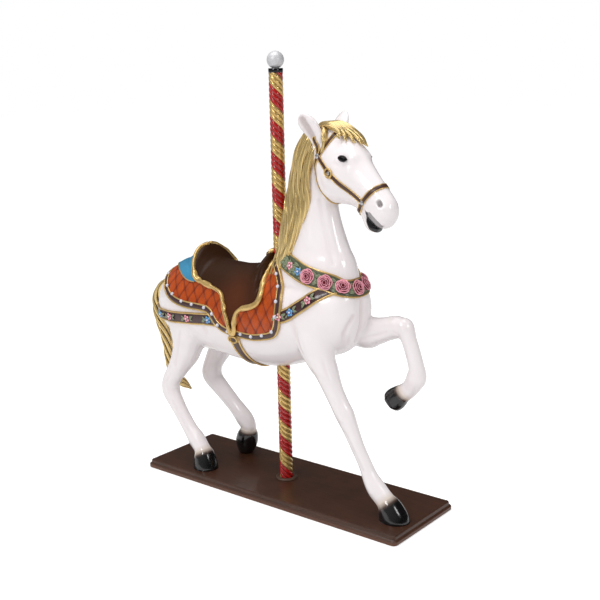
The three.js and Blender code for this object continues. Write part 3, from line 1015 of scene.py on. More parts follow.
    def bodies(self, bm: bmesh.types.BMesh, with_legs: bool, with_head: bool) -> None:
        """Adds the overlapping bodies that are fused to one skin.

        Args:
            bm: The mesh they are added to.
            with_legs: Whether the legs are wanted.
            with_head: Whether the head and ears are wanted.
        """
        add_loft(bm, trunk_sections(self.trunk, 6), 64)
        add_loft(bm, trunk_sections(self.neck, 6), 56)
        if with_legs:
            for rows in self.limbs:
                add_loft(bm, limb_sections(rows, 6), 40)
        if with_head:
            turn = Matrix.Rotation(self.head_turn, 4, "Z")
            about = mm(self.head_x, 0, 0)
            verts = add_loft(bm, trunk_sections(self.head, 6), 56)
            verts += add_loft(bm, trunk_sections(self.lower_jaw, 6), 40)
            for side in (-1, 1):
                rows = [(x, y * side, *rest) for x, y, *rest in self.ear]
                verts += add_loft(bm, limb_sections(rows, 6), 32)
            bmesh.ops.rotate(bm, cent=about, matrix=turn, verts=verts)

    def refine(self, piece: bpy.types.Object) -> None:
        """Splits the faces round the eyes, nostrils and mouth, for finer carving.

        Args:
            piece: The head.
        """
        spots = np.array([(x, y * side, z) for x, y, z, _ in self.fine for side in (1, -1)])
        spots = turned_head(spots) * MM
        reach = np.repeat([r * MM for *_, r in self.fine], 2)
        points = positions(piece)
        near = (np.linalg.norm(points[:, None] - spots[None], axis=2) < reach).any(axis=1)
        bm = bmesh.new()
        bm.from_mesh(piece.data)
        bm.verts.ensure_lookup_table()
        edges = [edge for edge in bm.edges if near[edge.verts[0].index] and near[edge.verts[1].index]]
        bmesh.ops.subdivide_edges(bm, edges=edges, cuts=1, use_grid_fill=True, smooth=0.0)
        bm.to_mesh(piece.data)
        bm.free()

    def paint_face(self, piece: bpy.types.Object) -> None:
        """Stores where the lips, the mouth and the nostrils are painted, and where the ear cups get painted
        shade.

        Args:
            piece: The head.
        """
        points = positions(piece) / MM
        back = np.array(points)
        forward, side, turn = points[:, 0] - self.head_x, points[:, 1], -self.head_turn
        back[:, 0] = self.head_x + forward * math.cos(turn) - side * math.sin(turn)
        back[:, 1] = forward * math.sin(turn) + side * math.cos(turn)
        flat = back[:, [0, 2]]
        mouth = patch(flat, self.mouth, 1.5) * 0.72
        mark(piece, "black", patch(flat, self.lips, 1.2) * (1 - mouth))
        grey, ear_cup_shade = np.zeros(len(points)), np.zeros(len(points))
        for sign in (1, -1):
            pit, cup = (np.array(line) * (1, sign, 1) for line in (self.nostril, self.ear_cup))
            grey = np.maximum(grey, eased(far_from(back, pit), *self.nostril_fade))
            ear_cup_shade = np.maximum(ear_cup_shade, eased(far_from(back, cup), *self.cup_fade))
        mark(piece, "grey", np.maximum(mouth, grey * 0.9))
        # painted shade inside the ear cups
        mark(piece, "ear_cup_shade", ear_cup_shade)

    def cut(self, piece: bpy.types.Object, keep_top: bool) -> None:
        """Parts the skin along the slanted line that the rose collar covers, and closes the cut.

        Args:
            piece: The piece that is cut.
            keep_top: Whether the head's side stays.
        """
        bm = bmesh.new()
        bm.from_mesh(piece.data)
        geometry = bm.verts[:] + bm.edges[:] + bm.faces[:]
        bmesh.ops.bisect_plane(
            bm, geom=geometry, plane_co=mm(*self.collar_middle), plane_no=Vector(self.collar_slope),
            clear_inner=keep_top, clear_outer=not keep_top,
        )
        bmesh.ops.holes_fill(bm, edges=bm.edges, sides=0)
        bm.to_mesh(piece.data)
        bm.free()

    def flatten_feet(self, piece: bpy.types.Object) -> None:
        """Sets the standing hooves flat on the plate.

        Args:
            piece: The body.
        """
        points = positions(piece)
        points[:, 2] = np.maximum(points[:, 2], self.foot * MM)
        put(piece, points)

    def paint_hooves(self, piece: bpy.types.Object) -> None:
        """Stores how far each point lies down the fade from white to the hoof's black.

        Args:
            piece: The body.
        """
        points = positions(piece)
        share = np.zeros(len(points))
        for start, end in self.hooves:
            a, b = np.array(start) * MM, np.array(end) * MM
            along = (b - a) / np.linalg.norm(b - a)
            down = (points - a) @ along / np.linalg.norm(b - a)
            near = np.linalg.norm(points - b, axis=1) < self.hoof_reach
            share = np.maximum(share, np.where(near, np.clip(down, 0, 1), 0))
        mark(piece, "hoof", share)

    def build(self) -> tuple[bpy.types.Object, bpy.types.Object]:
        """Models the body and the head.

        Returns:
            The body up to the collar, and the head and neck above it.
        """
        bm = bmesh.new()
        self.bodies(bm, with_legs=True, with_head=False)
        body = fuse(bm, "horse_body", self.grain, 14)
        # Painted shade in the carved cuts, deeper cuts darker.
        mark(body, "depth", np.clip(sculpt(body, self.body_strokes) / DEEP_CUT, 0, DEEPEST))
        self.flatten_feet(body)
        bm = bmesh.new()
        self.bodies(bm, with_legs=False, with_head=True)
        head = fuse(bm, "horse_head", self.head_grain, 10)
        self.refine(head)
        # Painted shade in the carved cuts, deeper cuts darker.
        mark(head, "depth", np.clip(sculpt(head, self.head_strokes, turned_head) / DEEP_CUT, 0, DEEPEST))
        sculpt(head, self.neck_strokes)
        self.paint_hooves(body)
        self.paint_face(head)
        return body, head


# ---- Laying things on the casting ----------------------------------------------------------------


class Skin:
    """The outside of the casting, for the harness to lie on."""

    axis_z: float = 0.69

    def __init__(self, *pieces: bpy.types.Object) -> None:
        """Takes the skins of some pieces together.

        Args:
            pieces: The pieces.
        """
        bm = bmesh.new()
        for piece in pieces:
            bm.from_mesh(piece.data)
        self.tree = BVHTree.FromBMesh(bm)
        bm.free()

    def inward(self, target: Vector, away: Vector) -> Vector:
        """The first point met on the way in to a target, or the nearest where the way misses."""
        hit = self.tree.ray_cast(target + away * FAR_OUT, -away, FAR_OUT)[0]
        return hit if hit is not None else self.tree.find_nearest(target)[0]

    def beside(self, x: float, z: float, side: int) -> Vector:
        """The point on a flank, 1 for the left, at a place seen from the side in millimetres."""
        return self.inward(mm(x, 0, z), Vector((0, side, 0)))

    def round_trunk(self, x: float, angle: float) -> Vector:
        """The point on the trunk at a forward place and an angle from the spine to the left."""
        return self.inward(Vector((x, 0, self.axis_z)), Vector((0, math.sin(angle), math.cos(angle))))

    def settle(self, point: Vector) -> tuple[Vector, Vector]:
        """The point of the skin nearest to a place, and its normal."""
        hit, normal, _, _ = self.tree.find_nearest(point)
        return hit, normal


class Track:
    """A line that lies on a skin, with the direction away from the skin at each of its points."""

    def __init__(self, skin: Skin, points: np.ndarray, ups: np.ndarray) -> None:
        """Keeps the line.

        Args:
            skin: The skin.
            points: Its points in metres, one to a row.
            ups: The directions away from the skin.
        """
        self.skin, self.points, self.ups = skin, points, ups

    @classmethod
    def lay(
        cls, skin: Skin, corners: Iterable[Sequence[float]], step: float = 0.004, settle: bool = True
    ) -> Track:
        """Lays a smooth line through corners down on a skin.

        Args:
            skin: The skin.
            corners: The corners in metres.
            step: The spacing of its points in metres.
            settle: Whether its points are dropped to the skin, or only take its directions.

        Returns:
            The line.
        """
        smooth = fair([tuple(c) for c in corners], 10)
        length = np.linalg.norm(np.diff(smooth, axis=0), axis=1).sum()
        points = spaced(smooth, max(int(length / step), 4) + 1)
        found = [skin.settle(Vector(p)) for p in points]
        if settle:
            points = cls.eased_line(np.array([f[0] for f in found]), 2)
        ups = cls.eased_line(np.array([f[1] for f in found]), 8)
        ups /= np.linalg.norm(ups, axis=1)[:, None]
        return cls(skin, points, ups)

    @staticmethod
    def eased_line(line: np.ndarray, rounds: int) -> np.ndarray:
        """Smooths rows along a line, with its ends kept.

        Args:
            line: The rows.
            rounds: How often.

        Returns:
            The smoothed rows.
        """
        line = line.copy()
        for _ in range(rounds):
            line[1:-1] = (line[:-2] + 2 * line[1:-1] + line[2:]) / 4
        return line

    @property
    def length(self) -> float:
        """Its length in metres."""
        return float(np.linalg.norm(np.diff(self.points, axis=0), axis=1).sum())

    def frames(self) -> tuple[np.ndarray, np.ndarray, np.ndarray]:
        """Directions along it, across it and away from the skin at each point."""
        along = np.gradient(self.points, axis=0)
        along /= np.linalg.norm(along, axis=1)[:, None]
        across = np.cross(along, self.ups)
        across /= np.linalg.norm(across, axis=1)[:, None]
        return along, across, np.cross(across, along)

    def aside(self, shift: float) -> Track:
        """A line beside this one on the same skin.

        Args:
            shift: How far to its right, in metres.

        Returns:
            The other line.
        """
        moved = self.points + self.frames()[1] * shift
        return Track.lay(self.skin, moved[:: max(len(moved) // 60, 1)])

    def roll(self, bm: bmesh.types.BMesh, high: float, wide: float, lift: float, sides: int = 12) -> None:
        """Adds a round or flat roll along it.

        Args:
            bm: The mesh it is added to.
            high: Its half height in metres.
            wide: Its half width in metres.
            lift: How far its middle stands off the skin in metres.
            sides: Points round it.
        """
        _, across, ups = self.frames()
        last = len(self.points) - 1
        sections = []
        for i, (point, right, up) in enumerate(zip(self.points, across, ups)):
            full = min(1.0, 0.35 + 0.4 * min(i, last - i))
            middle = Vector(point + up * lift)
            sections.append(placed(middle, Vector(up) * high * full, Vector(right) * wide * full))
        add_loft(bm, sections, sides)

    def seat_at(self, share: float, lift: float, aside: float = 0.0) -> Matrix:
        """The place of an ornament on it, with Z away from the skin.

        Args:
            share: The share of its length.
            lift: How far off the skin in metres.
            aside: How far to its right in metres.

        Returns:
            The place as a matrix.
        """
        i = int(round(share * (len(self.points) - 1)))
        along, across, ups = (part[i] for part in self.frames())
        matrix = Matrix((Vector(along), Vector(np.cross(ups, along)), Vector(ups))).transposed().to_4x4()
        matrix.translation = Vector(self.points[i] + ups * lift + across * aside)
        return matrix


def sheet(
    name: str,
    columns: int,
    rows: int,
    place: Callable[[float, float], Vector],
    inside: Vector,
    lift: Callable[[float, float], float] | None = None,
    rounds: int = 2,
) -> bpy.types.Object:
    """A layer over the skin, made of a grid drawn over it, with its hem turned in.

    Args:
        name: The piece's name.
        columns: Faces along it.
        rows: Faces across it.
        place: The point of the skin for each pair of shares.
        inside: A point on its inner side.
        lift: How far each point stands off, where it isn't 0.
        rounds: How often it is smoothed.

    Returns:
        The piece. Its UV map keeps the shares.
    """
    bm = bmesh.new()
    bmesh.ops.create_grid(bm, x_segments=columns, y_segments=rows, size=0.5, calc_uvs=False)
    uv = bm.loops.layers.uv.new("along_across")
    shares = {vert: (vert.co.x + 0.5, vert.co.y + 0.5) for vert in bm.verts}
    for face in bm.faces:
        for loop in face.loops:
            loop[uv].uv = shares[loop.vert]
    for vert, (u, v) in shares.items():
        vert.co = place(u, v)
    inner = [vert for vert in bm.verts if not vert.is_boundary]
    for _ in range(rounds):
        bmesh.ops.smooth_vert(
            bm, verts=inner, factor=0.5, use_axis_x=True, use_axis_y=True, use_axis_z=True
        )
    bm.normal_update()
    sample = 17
    facing = sum(vert.normal.dot(vert.co - inside) for vert in list(bm.verts)[::sample])
    if facing < 0:
        bmesh.ops.reverse_faces(bm, faces=bm.faces)
        bm.normal_update()
    raised = {}
    for vert, (u, v) in shares.items():
        raised[vert] = vert.co + vert.normal * (lift(u, v) if lift else 0.0)
    origin = {raised[vert].copy().freeze(): vert.normal.copy() for vert in shares if vert.is_boundary}
    for vert, spot in raised.items():
        vert.co = spot
    edges = [edge for edge in bm.edges if edge.is_boundary]
    hemmed = bmesh.ops.extrude_edge_only(bm, edges=edges)["geom"]
    for vert in hemmed:
        if isinstance(vert, bmesh.types.BMVert):
            vert.co -= origin[vert.co.copy().freeze()] * HEM
    bmesh.ops.remove_doubles(bm, verts=bm.verts, dist=1e-5)
    for face in bm.faces:
        face.smooth = True
    mesh = bpy.data.meshes.new(name)
    bm.to_mesh(mesh)
    bm.free()
    piece = bpy.data.objects.new(name, mesh)
    bpy.context.scene.collection.objects.link(piece)
    return piece


def band(
    name: str, track: Track, half: float, lift: float, crown: float, rows: int = 8
) -> bpy.types.Object:
    """A strap along a line: flat below, slightly crowned above.

    Args:
        name: The piece's name.
        track: Its middle line.
        half: Its half width in metres.
        lift: How far its edges stand off the skin in metres.
        crown: How much higher its middle is.
        rows: Faces across it.

    Returns:
        The piece.
    """
    _, across, _ = track.frames()
    last = len(track.points) - 1

    def place(u: float, v: float) -> Vector:
        """The skin's point at these shares of the strap."""
        i = min(int(round(u * last)), last)
        return track.skin.settle(Vector(track.points[i] + across[i] * (2 * v - 1) * half))[0]

    def rise(_u: float, v: float) -> float:
        """The strap's height there."""
        return lift + crown * (1 - (2 * v - 1) ** 2)

    inside = Vector(track.points[last // 2] - track.ups[last // 2] * 0.2)
    return sheet(name, last, rows, place, inside, rise)


# ---- Ornaments -----------------------------------------------------------------------------------


def carving(bm: bmesh.types.BMesh) -> bmesh.types.BMLayerItem:
    """The layer that keeps how deep in the carving each vertex lies, for the paint's painted shade, made
    once.

    Args:
        bm: The mesh.

    Returns:
        The layer.
    """
    return bm.verts.layers.float.get("depth") or bm.verts.layers.float.new("depth")


@dataclass(frozen=True)
class Rose:
    """A full rose: rings of petals round a bud, with painted shade darkening the gaps between them."""

    radius: float = 0.0275
    rings: tuple = (  # [reach, height, petals, turn]
        (1.0, 0.1, 5, 0.0), (0.78, 0.3, 4, 0.45), (0.54, 0.44, 3, 0.2), (0.3, 0.52, 2, 0.6),
    )

    def add(self, bm: bmesh.types.BMesh, place: Matrix) -> None:
        """Adds the rose.

        Args:
            bm: The mesh it is added to.
            place: Its place, with Z up out of the flower.
        """
        deep = carving(bm)
        base = bmesh.ops.create_uvsphere(bm, u_segments=16, v_segments=8, radius=1.0)["verts"]
        # Painted shade: the bud is dark all over, and each petal darker towards its foot.
        for vert in base:
            vert[deep] = 1.0
            vert.co = Vector((vert.co.x * 0.9, vert.co.y * 0.9, vert.co.z * 0.36)) * self.radius
        bmesh.ops.transform(bm, matrix=place, verts=base)
        for reach, height, count, start in self.rings:
            for k in range(count):
                petal = bmesh.ops.create_grid(bm, x_segments=6, y_segments=4, size=0.5)["verts"]
                middle = 2 * math.pi * (k + start) / count
                for vert in petal:
                    u, v = vert.co.x * 2, vert.co.y + 0.5
                    angle = middle + u * math.pi / count * 1.32
                    fall = 1 - 0.1 * u * u
                    out = reach * (0.7 + 0.3 * v + 0.1 * u) * fall
                    rise = height * (0.2 + 1.2 * v - 0.5 * v**3) + 0.16
                    vert[deep] = min(1.0, max(0.0, (0.8 - v) * 2.4))
                    spot = Vector((out * math.cos(angle), out * math.sin(angle), rise))
                    vert.co = spot * self.radius
                bmesh.ops.transform(bm, matrix=place, verts=petal)


@dataclass(frozen=True)
class Blossom:
    """A small five-petalled flower and its heart."""

    radius: float = 0.0152

    def add(self, petals: bmesh.types.BMesh, hearts: bmesh.types.BMesh, place: Matrix) -> None:
        """Adds the flower.

        Args:
            petals: The mesh its petals go in.
            hearts: The mesh its heart goes in.
            place: Its place, with Z up out of the flower.
        """
        deep = carving(petals)
        for k in range(5):
            made = bmesh.ops.create_uvsphere(petals, u_segments=10, v_segments=6, radius=1.0)["verts"]
            turn = Matrix.Rotation(2 * math.pi * k / 5, 4, "Z")
            for vert in made:
                x, y, z = vert.co
                # Painted shade towards the heart and on the underside of each petal.
                vert[deep] = max(0.0, 0.9 * (0.4 - x)) + max(0.0, 0.5 - z) * 0.6
                dent = 0.25 * math.exp(-((x + 0.2) ** 2 + y * y) * 4)
                vert.co = Vector((0.56 + 0.44 * x, 0.4 * y, 0.22 * z - dent * 0.3 + 0.2)) * self.radius
            bmesh.ops.transform(petals, matrix=place @ turn, verts=made)
        small = self.radius * 0.26
        heart = bmesh.ops.create_uvsphere(hearts, u_segments=10, v_segments=6, radius=small)["verts"]
        raised = place @ Matrix.Translation((0, 0, self.radius * 0.36))
        bmesh.ops.transform(hearts, matrix=raised, verts=heart)


@dataclass(frozen=True)
class Leaf:
    """A pointed leaf with a sunk midrib, painted shade along it and its edges, and darker veins."""

    length: float = 0.024
    width: float = 0.0115

    def add(self, bm: bmesh.types.BMesh, place: Matrix, turn: float, size: float = 1.0) -> None:
        """Adds the leaf, growing away from its place.

        Args:
            bm: The mesh it is added to.
            place: Where its stem is, with Z away from the skin.
            turn: Its direction round Z, in radians.
            size: Its scale.
        """
        deep = carving(bm)
        made = bmesh.ops.create_grid(bm, x_segments=6, y_segments=6, size=0.5)["verts"]
        for vert in made:
            u, v = vert.co.x + 0.5, vert.co.y * 2
            broad = math.sin(math.pi * u) ** 0.75 * (1.15 - 0.3 * u)
            rib = math.exp(-((v * 3.2) ** 2))
            vein = 0.5 + 0.5 * math.cos(u * 26 - abs(v) * 7)
            # Painted shade along the sunk midrib and the edges, and a darker vein pattern.
            vert[deep] = min(1.0, 0.6 * rib + 0.2 * vein + 0.9 * abs(v) ** 4)
            rise = 0.0035 * math.sin(math.pi * u) + 0.0022 * (1 - v * v) - 0.0018 * rib + 0.0005
            vert.co = Vector((u * self.length, v * self.width / 2 * broad, rise)) * size
        bmesh.ops.transform(bm, matrix=place @ Matrix.Rotation(turn, 4, "Z"), verts=made)


def stud(bm: bmesh.types.BMesh, place: Matrix, radius: float) -> None:
    """Adds a round stud, flattened a little, with Z of its place out of it."""
    made = bmesh.ops.create_uvsphere(bm, u_segments=16, v_segments=10, radius=radius)["verts"]
    bmesh.ops.transform(bm, matrix=place @ Matrix.Diagonal((1, 1, 0.8, 1)), verts=made)


def seat_on(spot: Vector, normal: Vector, along: Vector) -> Matrix:
    """The place of an ornament, with Z out of the skin.

    Args:
        spot: Its middle.
        normal: The direction out of the skin.
        along: The direction that its X follows as far as it can.

    Returns:
        The place as a matrix.
    """
    across = normal.cross(along).normalized()
    matrix = Matrix((across.cross(normal), across, normal)).transposed().to_4x4()
    matrix.translation = spot
    return matrix


def hoop(bm: bmesh.types.BMesh, place: Matrix, long: float, wide: float, thick: float) -> None:
    """Adds an oval ring.

    Args:
        bm: The mesh it is added to.
        place: Its place, lying across Z.
        long: Its half length along X in metres.
        wide: Its half width along Y in metres.
        thick: Half its wire's thickness in metres.
    """
    turned = place.to_3x3()
    rings = [
        placed(
            place @ Vector((long * math.cos(a), wide * math.sin(a), 0)),
            turned @ Vector((math.cos(a), math.sin(a), 0)) * thick,
            turned @ Vector((0, 0, thick)),
        )
        for a in np.linspace(0, 2 * math.pi, 33)
    ]
    add_loft(bm, rings, 12)


# ---- Harness -------------------------------------------------------------------------------------


@dataclass
class Gilding:
    """Gathers the gilt edging of the harness into one mesh."""

    bm: bmesh.types.BMesh = field(default_factory=bmesh.new)

    def edge(self, track: Track, high: float, wide: float, lift: float) -> None:
        """Adds edging along a line: half height, half width and lift of its middle in millimetres."""
        track.roll(self.bm, high * MM, wide * MM, lift * MM)


@dataclass
class Blanket:
    """The quilted saddle blanket with its studded border.

    The outline is [x, z] corners seen from the side, from the croup round the lower edge to the withers.
    """

    outline: tuple = (
        (-566, 802), (-547, 777), (-517, 744), (-470, 716), (-400, 702), (-314, 700), (-270, 696),
        (-250, 678), (-225, 651), (-195, 635), (-152, 627), (-57, 622), (6, 632), (55, 648),
        (76, 674), (85, 707), (84, 786), (66, 852), (38, 886), (0, 915),
    )
    studs: tuple = (
        (-540, 797), (-506, 762), (-462, 739), (-406, 720), (-349, 715), (-283, 711), (-241, 693),
        (-213, 655), (-165, 638), (-100, 637), (-50, 635), (3, 647), (52, 668), (70, 723), (68, 775),
        (58, 822), (40, 866),
    )
    lift: float = 0.007
    border: float = 0.02
    diamond: tuple[float, float] = (0.05, 0.078)
    puff: float = 0.0032
    columns: int = 360
    rows: int = 170
    pearl: float = 0.007
    pearl_lift: float = 0.0125

    def place(self, skin: Skin, edge: np.ndarray) -> Callable[[float, float], Vector]:
        """The function that spreads the blanket over the trunk.

        Args:
            skin: The casting's skin.
            edge: [x, angle] of the right lower edge, evenly spaced.

        Returns:
            The point of the skin for each pair of shares.
        """
        last = len(edge) - 1

        def spread(u: float, v: float) -> Vector:
            """The point at a share from croup to withers and a share from the right edge to the left."""
            x, angle = edge[min(int(round(u * last)), last)]
            down = abs(2 * v - 1)
            ridge = -0.572 + 0.537 * u
            return skin.round_trunk(ridge + (x - ridge) * down, angle * (2 * v - 1))

        return spread

    def quilt(self, piece: bpy.types.Object) -> None:
        """Presses the diamond quilting into the blanket and paints shade into its grooves.

        Args:
            piece: The blanket.
        """
        points, out = positions(piece), normals(piece)
        round_it = np.arctan2(np.abs(points[:, 1]), points[:, 2] - Skin.axis_z) * 0.15
        across, down = points[:, 0] / self.diamond[0], round_it / self.diamond[1]
        puff = np.abs(np.sin(math.pi * (across + down)) * np.sin(math.pi * (across - down))) ** 0.4
        put(piece, points + out * (puff * self.puff)[:, None])
        # Painted shade in the grooves between the puffed diamonds.
        mark(piece, "depth", np.clip(1.15 - 1.5 * puff, 0, 1))

    def build(self, skin: Skin, gilding: Gilding) -> None:
        """Lays the blanket, its border and its studs.

        Args:
            skin: The casting's skin.
            gilding: Where its gilt edging goes.
        """
        corners = [skin.beside(x, z, -1) for x, z in self.outline]
        line = spaced(fair([tuple(c) for c in corners], 8), self.columns + 1)
        edge = np.stack([line[:, 0], np.arctan2(np.abs(line[:, 1]), line[:, 2] - Skin.axis_z)], 1)

        def rise(_u: float, _v: float) -> float:
            """The blanket's height off the skin, the same all over."""
            return self.lift

        inside = Vector((-0.25, 0, Skin.axis_z))
        place = self.place(skin, edge)
        cloth = sheet("blanket_quilting", self.columns, self.rows, place, inside, rise)
        self.quilt(cloth)
        install(cloth, "white_gloss", RUST)
        bm = bmesh.new()
        for side in (-1, 1):
            whole = Track.lay(skin, [(c.x, c.y * -side, c.z) for c in corners])
            whole.aside(side * self.border / 2).roll(bm, 0.0035, self.border / 2, self.lift + 0.001, 16)
            gilding.edge(whole.aside(side * -0.0015), 5.2, 4.0, 6.5)
            gilding.edge(whole.aside(side * self.border), 2.4, 3.0, 9.5)
        border = cast_off(bm, "blanket_border")
        install(border, "white_gloss", MAROON)
        bm = bmesh.new()
        for side in (-1, 1):
            for x, z in self.studs:
                spot, normal = skin.settle(skin.beside(x, z, side))
                matrix = normal.to_track_quat("Z", "X").to_matrix().to_4x4()
                matrix.translation = spot + normal * self.pearl_lift
                stud(bm, matrix, self.pearl)
        pearls = cast_off(bm, "blanket_studs")
        install(pearls, "white_gloss", PEARL)


@dataclass
class Saddle:
    """The seat with its high cantle, its flaps, the panel behind the cantle and the girth."""

    seat: tuple = (
        (-408, 876, -300, 560, 138), (-404, 914, -296, 500, 149), (-395, 926, -290, 485, 151),
        (-382, 922, -280, 480, 151), (-364, 898, -270, 480, 150), (-338, 875, -255, 478, 149),
        (-275, 866, -240, 476, 148), (-197, 869, -197, 478, 149), (-141, 876, -141, 480, 149),
        (-100, 888, -120, 482, 149), (-70, 913, -90, 484, 149), (-54, 932, -75, 486, 148),
        (-42, 931, -65, 488, 147), (-30, 900, -55, 500, 145),
    )
    rim: tuple = (  # [x, y, z] down the cantle's right side
        (-388, 0, 921), (-394, -15, 918), (-397, -30, 915), (-394, -45, 910), (-392, -60, 903),
        (-388, -75, 893), (-382, -90, 876), (-369, -105, 842), (-352, -119, 812),
    )
    flap: tuple = (  # [x, z] on from there
        (-330, 797), (-289, 788), (-241, 780), (-208, 769), (-192, 752), (-182, 725), (-169, 700),
        (-156, 674), (-151, 640), (-129, 640), (-124, 696), (-107, 724), (-66, 736), (-28, 750),
        (-13, 773), (-15, 803), (-30, 844), (-48, 889), (-58, 915),
    )
    panel: tuple = (
        (-545, 0, 834), (-520, -40, 832), (-490, -69, 830), (-455, -94, 817), (-414, -114, 802),
        (-380, -122, 797), (-357, -123, 796),
    )
    lift: float = 0.012
    panel_lift: float = 0.0145
    bulge: float = 0.006
    girth: tuple = ((-146, 640), (-139, 575), (-127, 525))
    girth_half: float = 0.0205
    loop: tuple = (-140, 612)
    columns: int = 300
    ridge: tuple[float, float] = (-0.384, -0.068)  # how far back and forward the middle of the seat runs
    panel_columns: int = 80

    def shape(self, body: Skin) -> Callable[[float, float], Vector]:
        """The saddle's own surface over the trunk.

        Args:
            body: The casting's skin.

        Returns:
            Its point at a forward place and an angle from the spine.
        """
        bm = bmesh.new()
        add_loft(bm, trunk_sections(self.seat, 8), 96)
        block = cast_off(bm, "seat_block")
        seat = Skin(block)
        bpy.data.objects.remove(block)

        def outside(x: float, angle: float) -> Vector:
            """The outer of the seat and the flap at this place."""
            away = Vector((0, math.sin(angle), math.cos(angle)))
            middle = Vector((x, 0, Skin.axis_z))
            flap = (body.inward(middle, away) - middle).length + self.lift
            hit = seat.tree.ray_cast(middle + away * FAR_OUT, -away, FAR_OUT)[0]
            top = (hit - middle).length if hit is not None else 0.0
            return middle + away * max(flap, top)

        return outside

    def edge(self, skin: Skin) -> np.ndarray:
        """The saddle's right edge from the cantle to the pommel, as even [x, angle] rows.

        Args:
            skin: The casting's skin.

        Returns:
            The rows.
        """
        points = [tuple(mm(*p)) for p in self.rim] + [tuple(skin.beside(x, z, -1)) for x, z in self.flap]
        points[-1] = (-0.06, -0.03, 0.935)
        points.append((-0.066, 0.0, 0.937))
        line = spaced(fair(points, 10), self.columns + 1)
        return np.stack([line[:, 0], np.arctan2(np.abs(line[:, 1]), line[:, 2] - Skin.axis_z)], 1)

    def build(self, body: Skin, gilding: Gilding) -> None:
        """Builds the saddle, its rolled gilt edge, the panel and the girth.

        Args:
            body: The casting's skin.
            gilding: Where its gilt edging goes.
        """
        outside, edge = self.shape(body), self.edge(body)

        def place(u: float, v: float) -> Vector:
            """The seat's point at a share from cantle to pommel and a share from right to left."""
            x, angle = edge[int(round(u * self.columns))]
            ridge = min(max(x, self.ridge[0]), self.ridge[1])
            down = abs(2 * v - 1)
            return outside(ridge + (x - ridge) * down, angle * (2 * v - 1))

        seat = sheet("saddle_seat", self.columns, 110, place, Vector((-0.2, 0, Skin.axis_z)), rounds=9)
        points = positions(seat)
        low = eased(points[:, 2], 0.9, 0.76) * eased(points[:, 2], 0.64, 0.74)
        mark(seat, "warm", low * 0.75 * np.exp(-(((points[:, 0] + 0.13) / 0.09) ** 2)))
        install(seat, "white_gloss", SEAT_BROWN)
        leather = Skin(seat)
        for side in (-1, 1):
            ends = np.array([outside(x, angle * side) for x, angle in edge])
            track = Track.lay(leather, Track.eased_line(ends, 12)[::4], settle=False)
            track.roll(gilding.bm, 0.0078, 0.0115, 0.0025, 16)
        self.back_panel(body, gilding)
        self.strap(body, gilding)

    def back_panel(self, body: Skin, gilding: Gilding) -> None:
        """Builds the panel that closes the back of the cantle down to the blanket.

        Args:
            body: The casting's skin.
            gilding: Where its gilt edging goes.
        """
        upper = [tuple(mm(*p)) for p in (*self.rim[::-1], *[(x, -y, z) for x, y, z in self.rim[1:]])]
        lower = [tuple(mm(*p)) for p in (*self.panel[::-1], *[(x, -y, z) for x, y, z in self.panel[1:]])]
        top, foot = (spaced(fair(line, 6), self.panel_columns + 1) for line in (upper, lower))

        def place(u: float, v: float) -> Vector:
            """The panel's point at a share round the cantle and a share down it, clear of the blanket."""
            i = int(round(u * self.panel_columns))
            point = Vector(top[i]).lerp(Vector(foot[i]), v)
            skin, normal = body.settle(point)
            low = self.panel_lift + self.bulge * math.sin(math.pi * v)
            return point + normal * max(low - (point - skin).dot(normal), 0.0)

        piece = sheet("cantle_panel", self.panel_columns, 24, place, Vector((-0.42, 0, 0.7)), rounds=1)
        install(piece, "white_gloss", SKY)
        track = Track.lay(body, [tuple(p) for p in foot[::4]])
        gilding.edge(track, 2.2, 2.4, self.panel_lift / MM - 0.5)

    def strap(self, body: Skin, gilding: Gilding) -> None:
        """Builds the girth under the belly and its ring.

        Args:
            body: The casting's skin.
            gilding: Where its gilt edging goes.
        """
        right = [tuple(body.beside(x, z, -1)) for x, z in self.girth] + [tuple(mm(-119, -62, 497))]
        left = [(x, -y, z) for x, y, z in right[::-1]]
        track = Track.lay(body, [*right, tuple(mm(-115, 0, 485)), *left])
        piece = band("girth", track, self.girth_half, 0.004, 0.002)
        install(piece, "white_gloss", BRIDLE_BROWN)
        for shift in (-self.girth_half, self.girth_half):
            gilding.edge(track.aside(shift), 3.0, 4.2, 4.5)
        for side in (-1, 1):
            spot, normal = body.settle(body.beside(*self.loop, side))
            place = seat_on(spot + normal * 0.016, normal, Vector((0, 0, 1)))
            hoop(gilding.bm, place, 0.0125, 0.021, 0.0042)


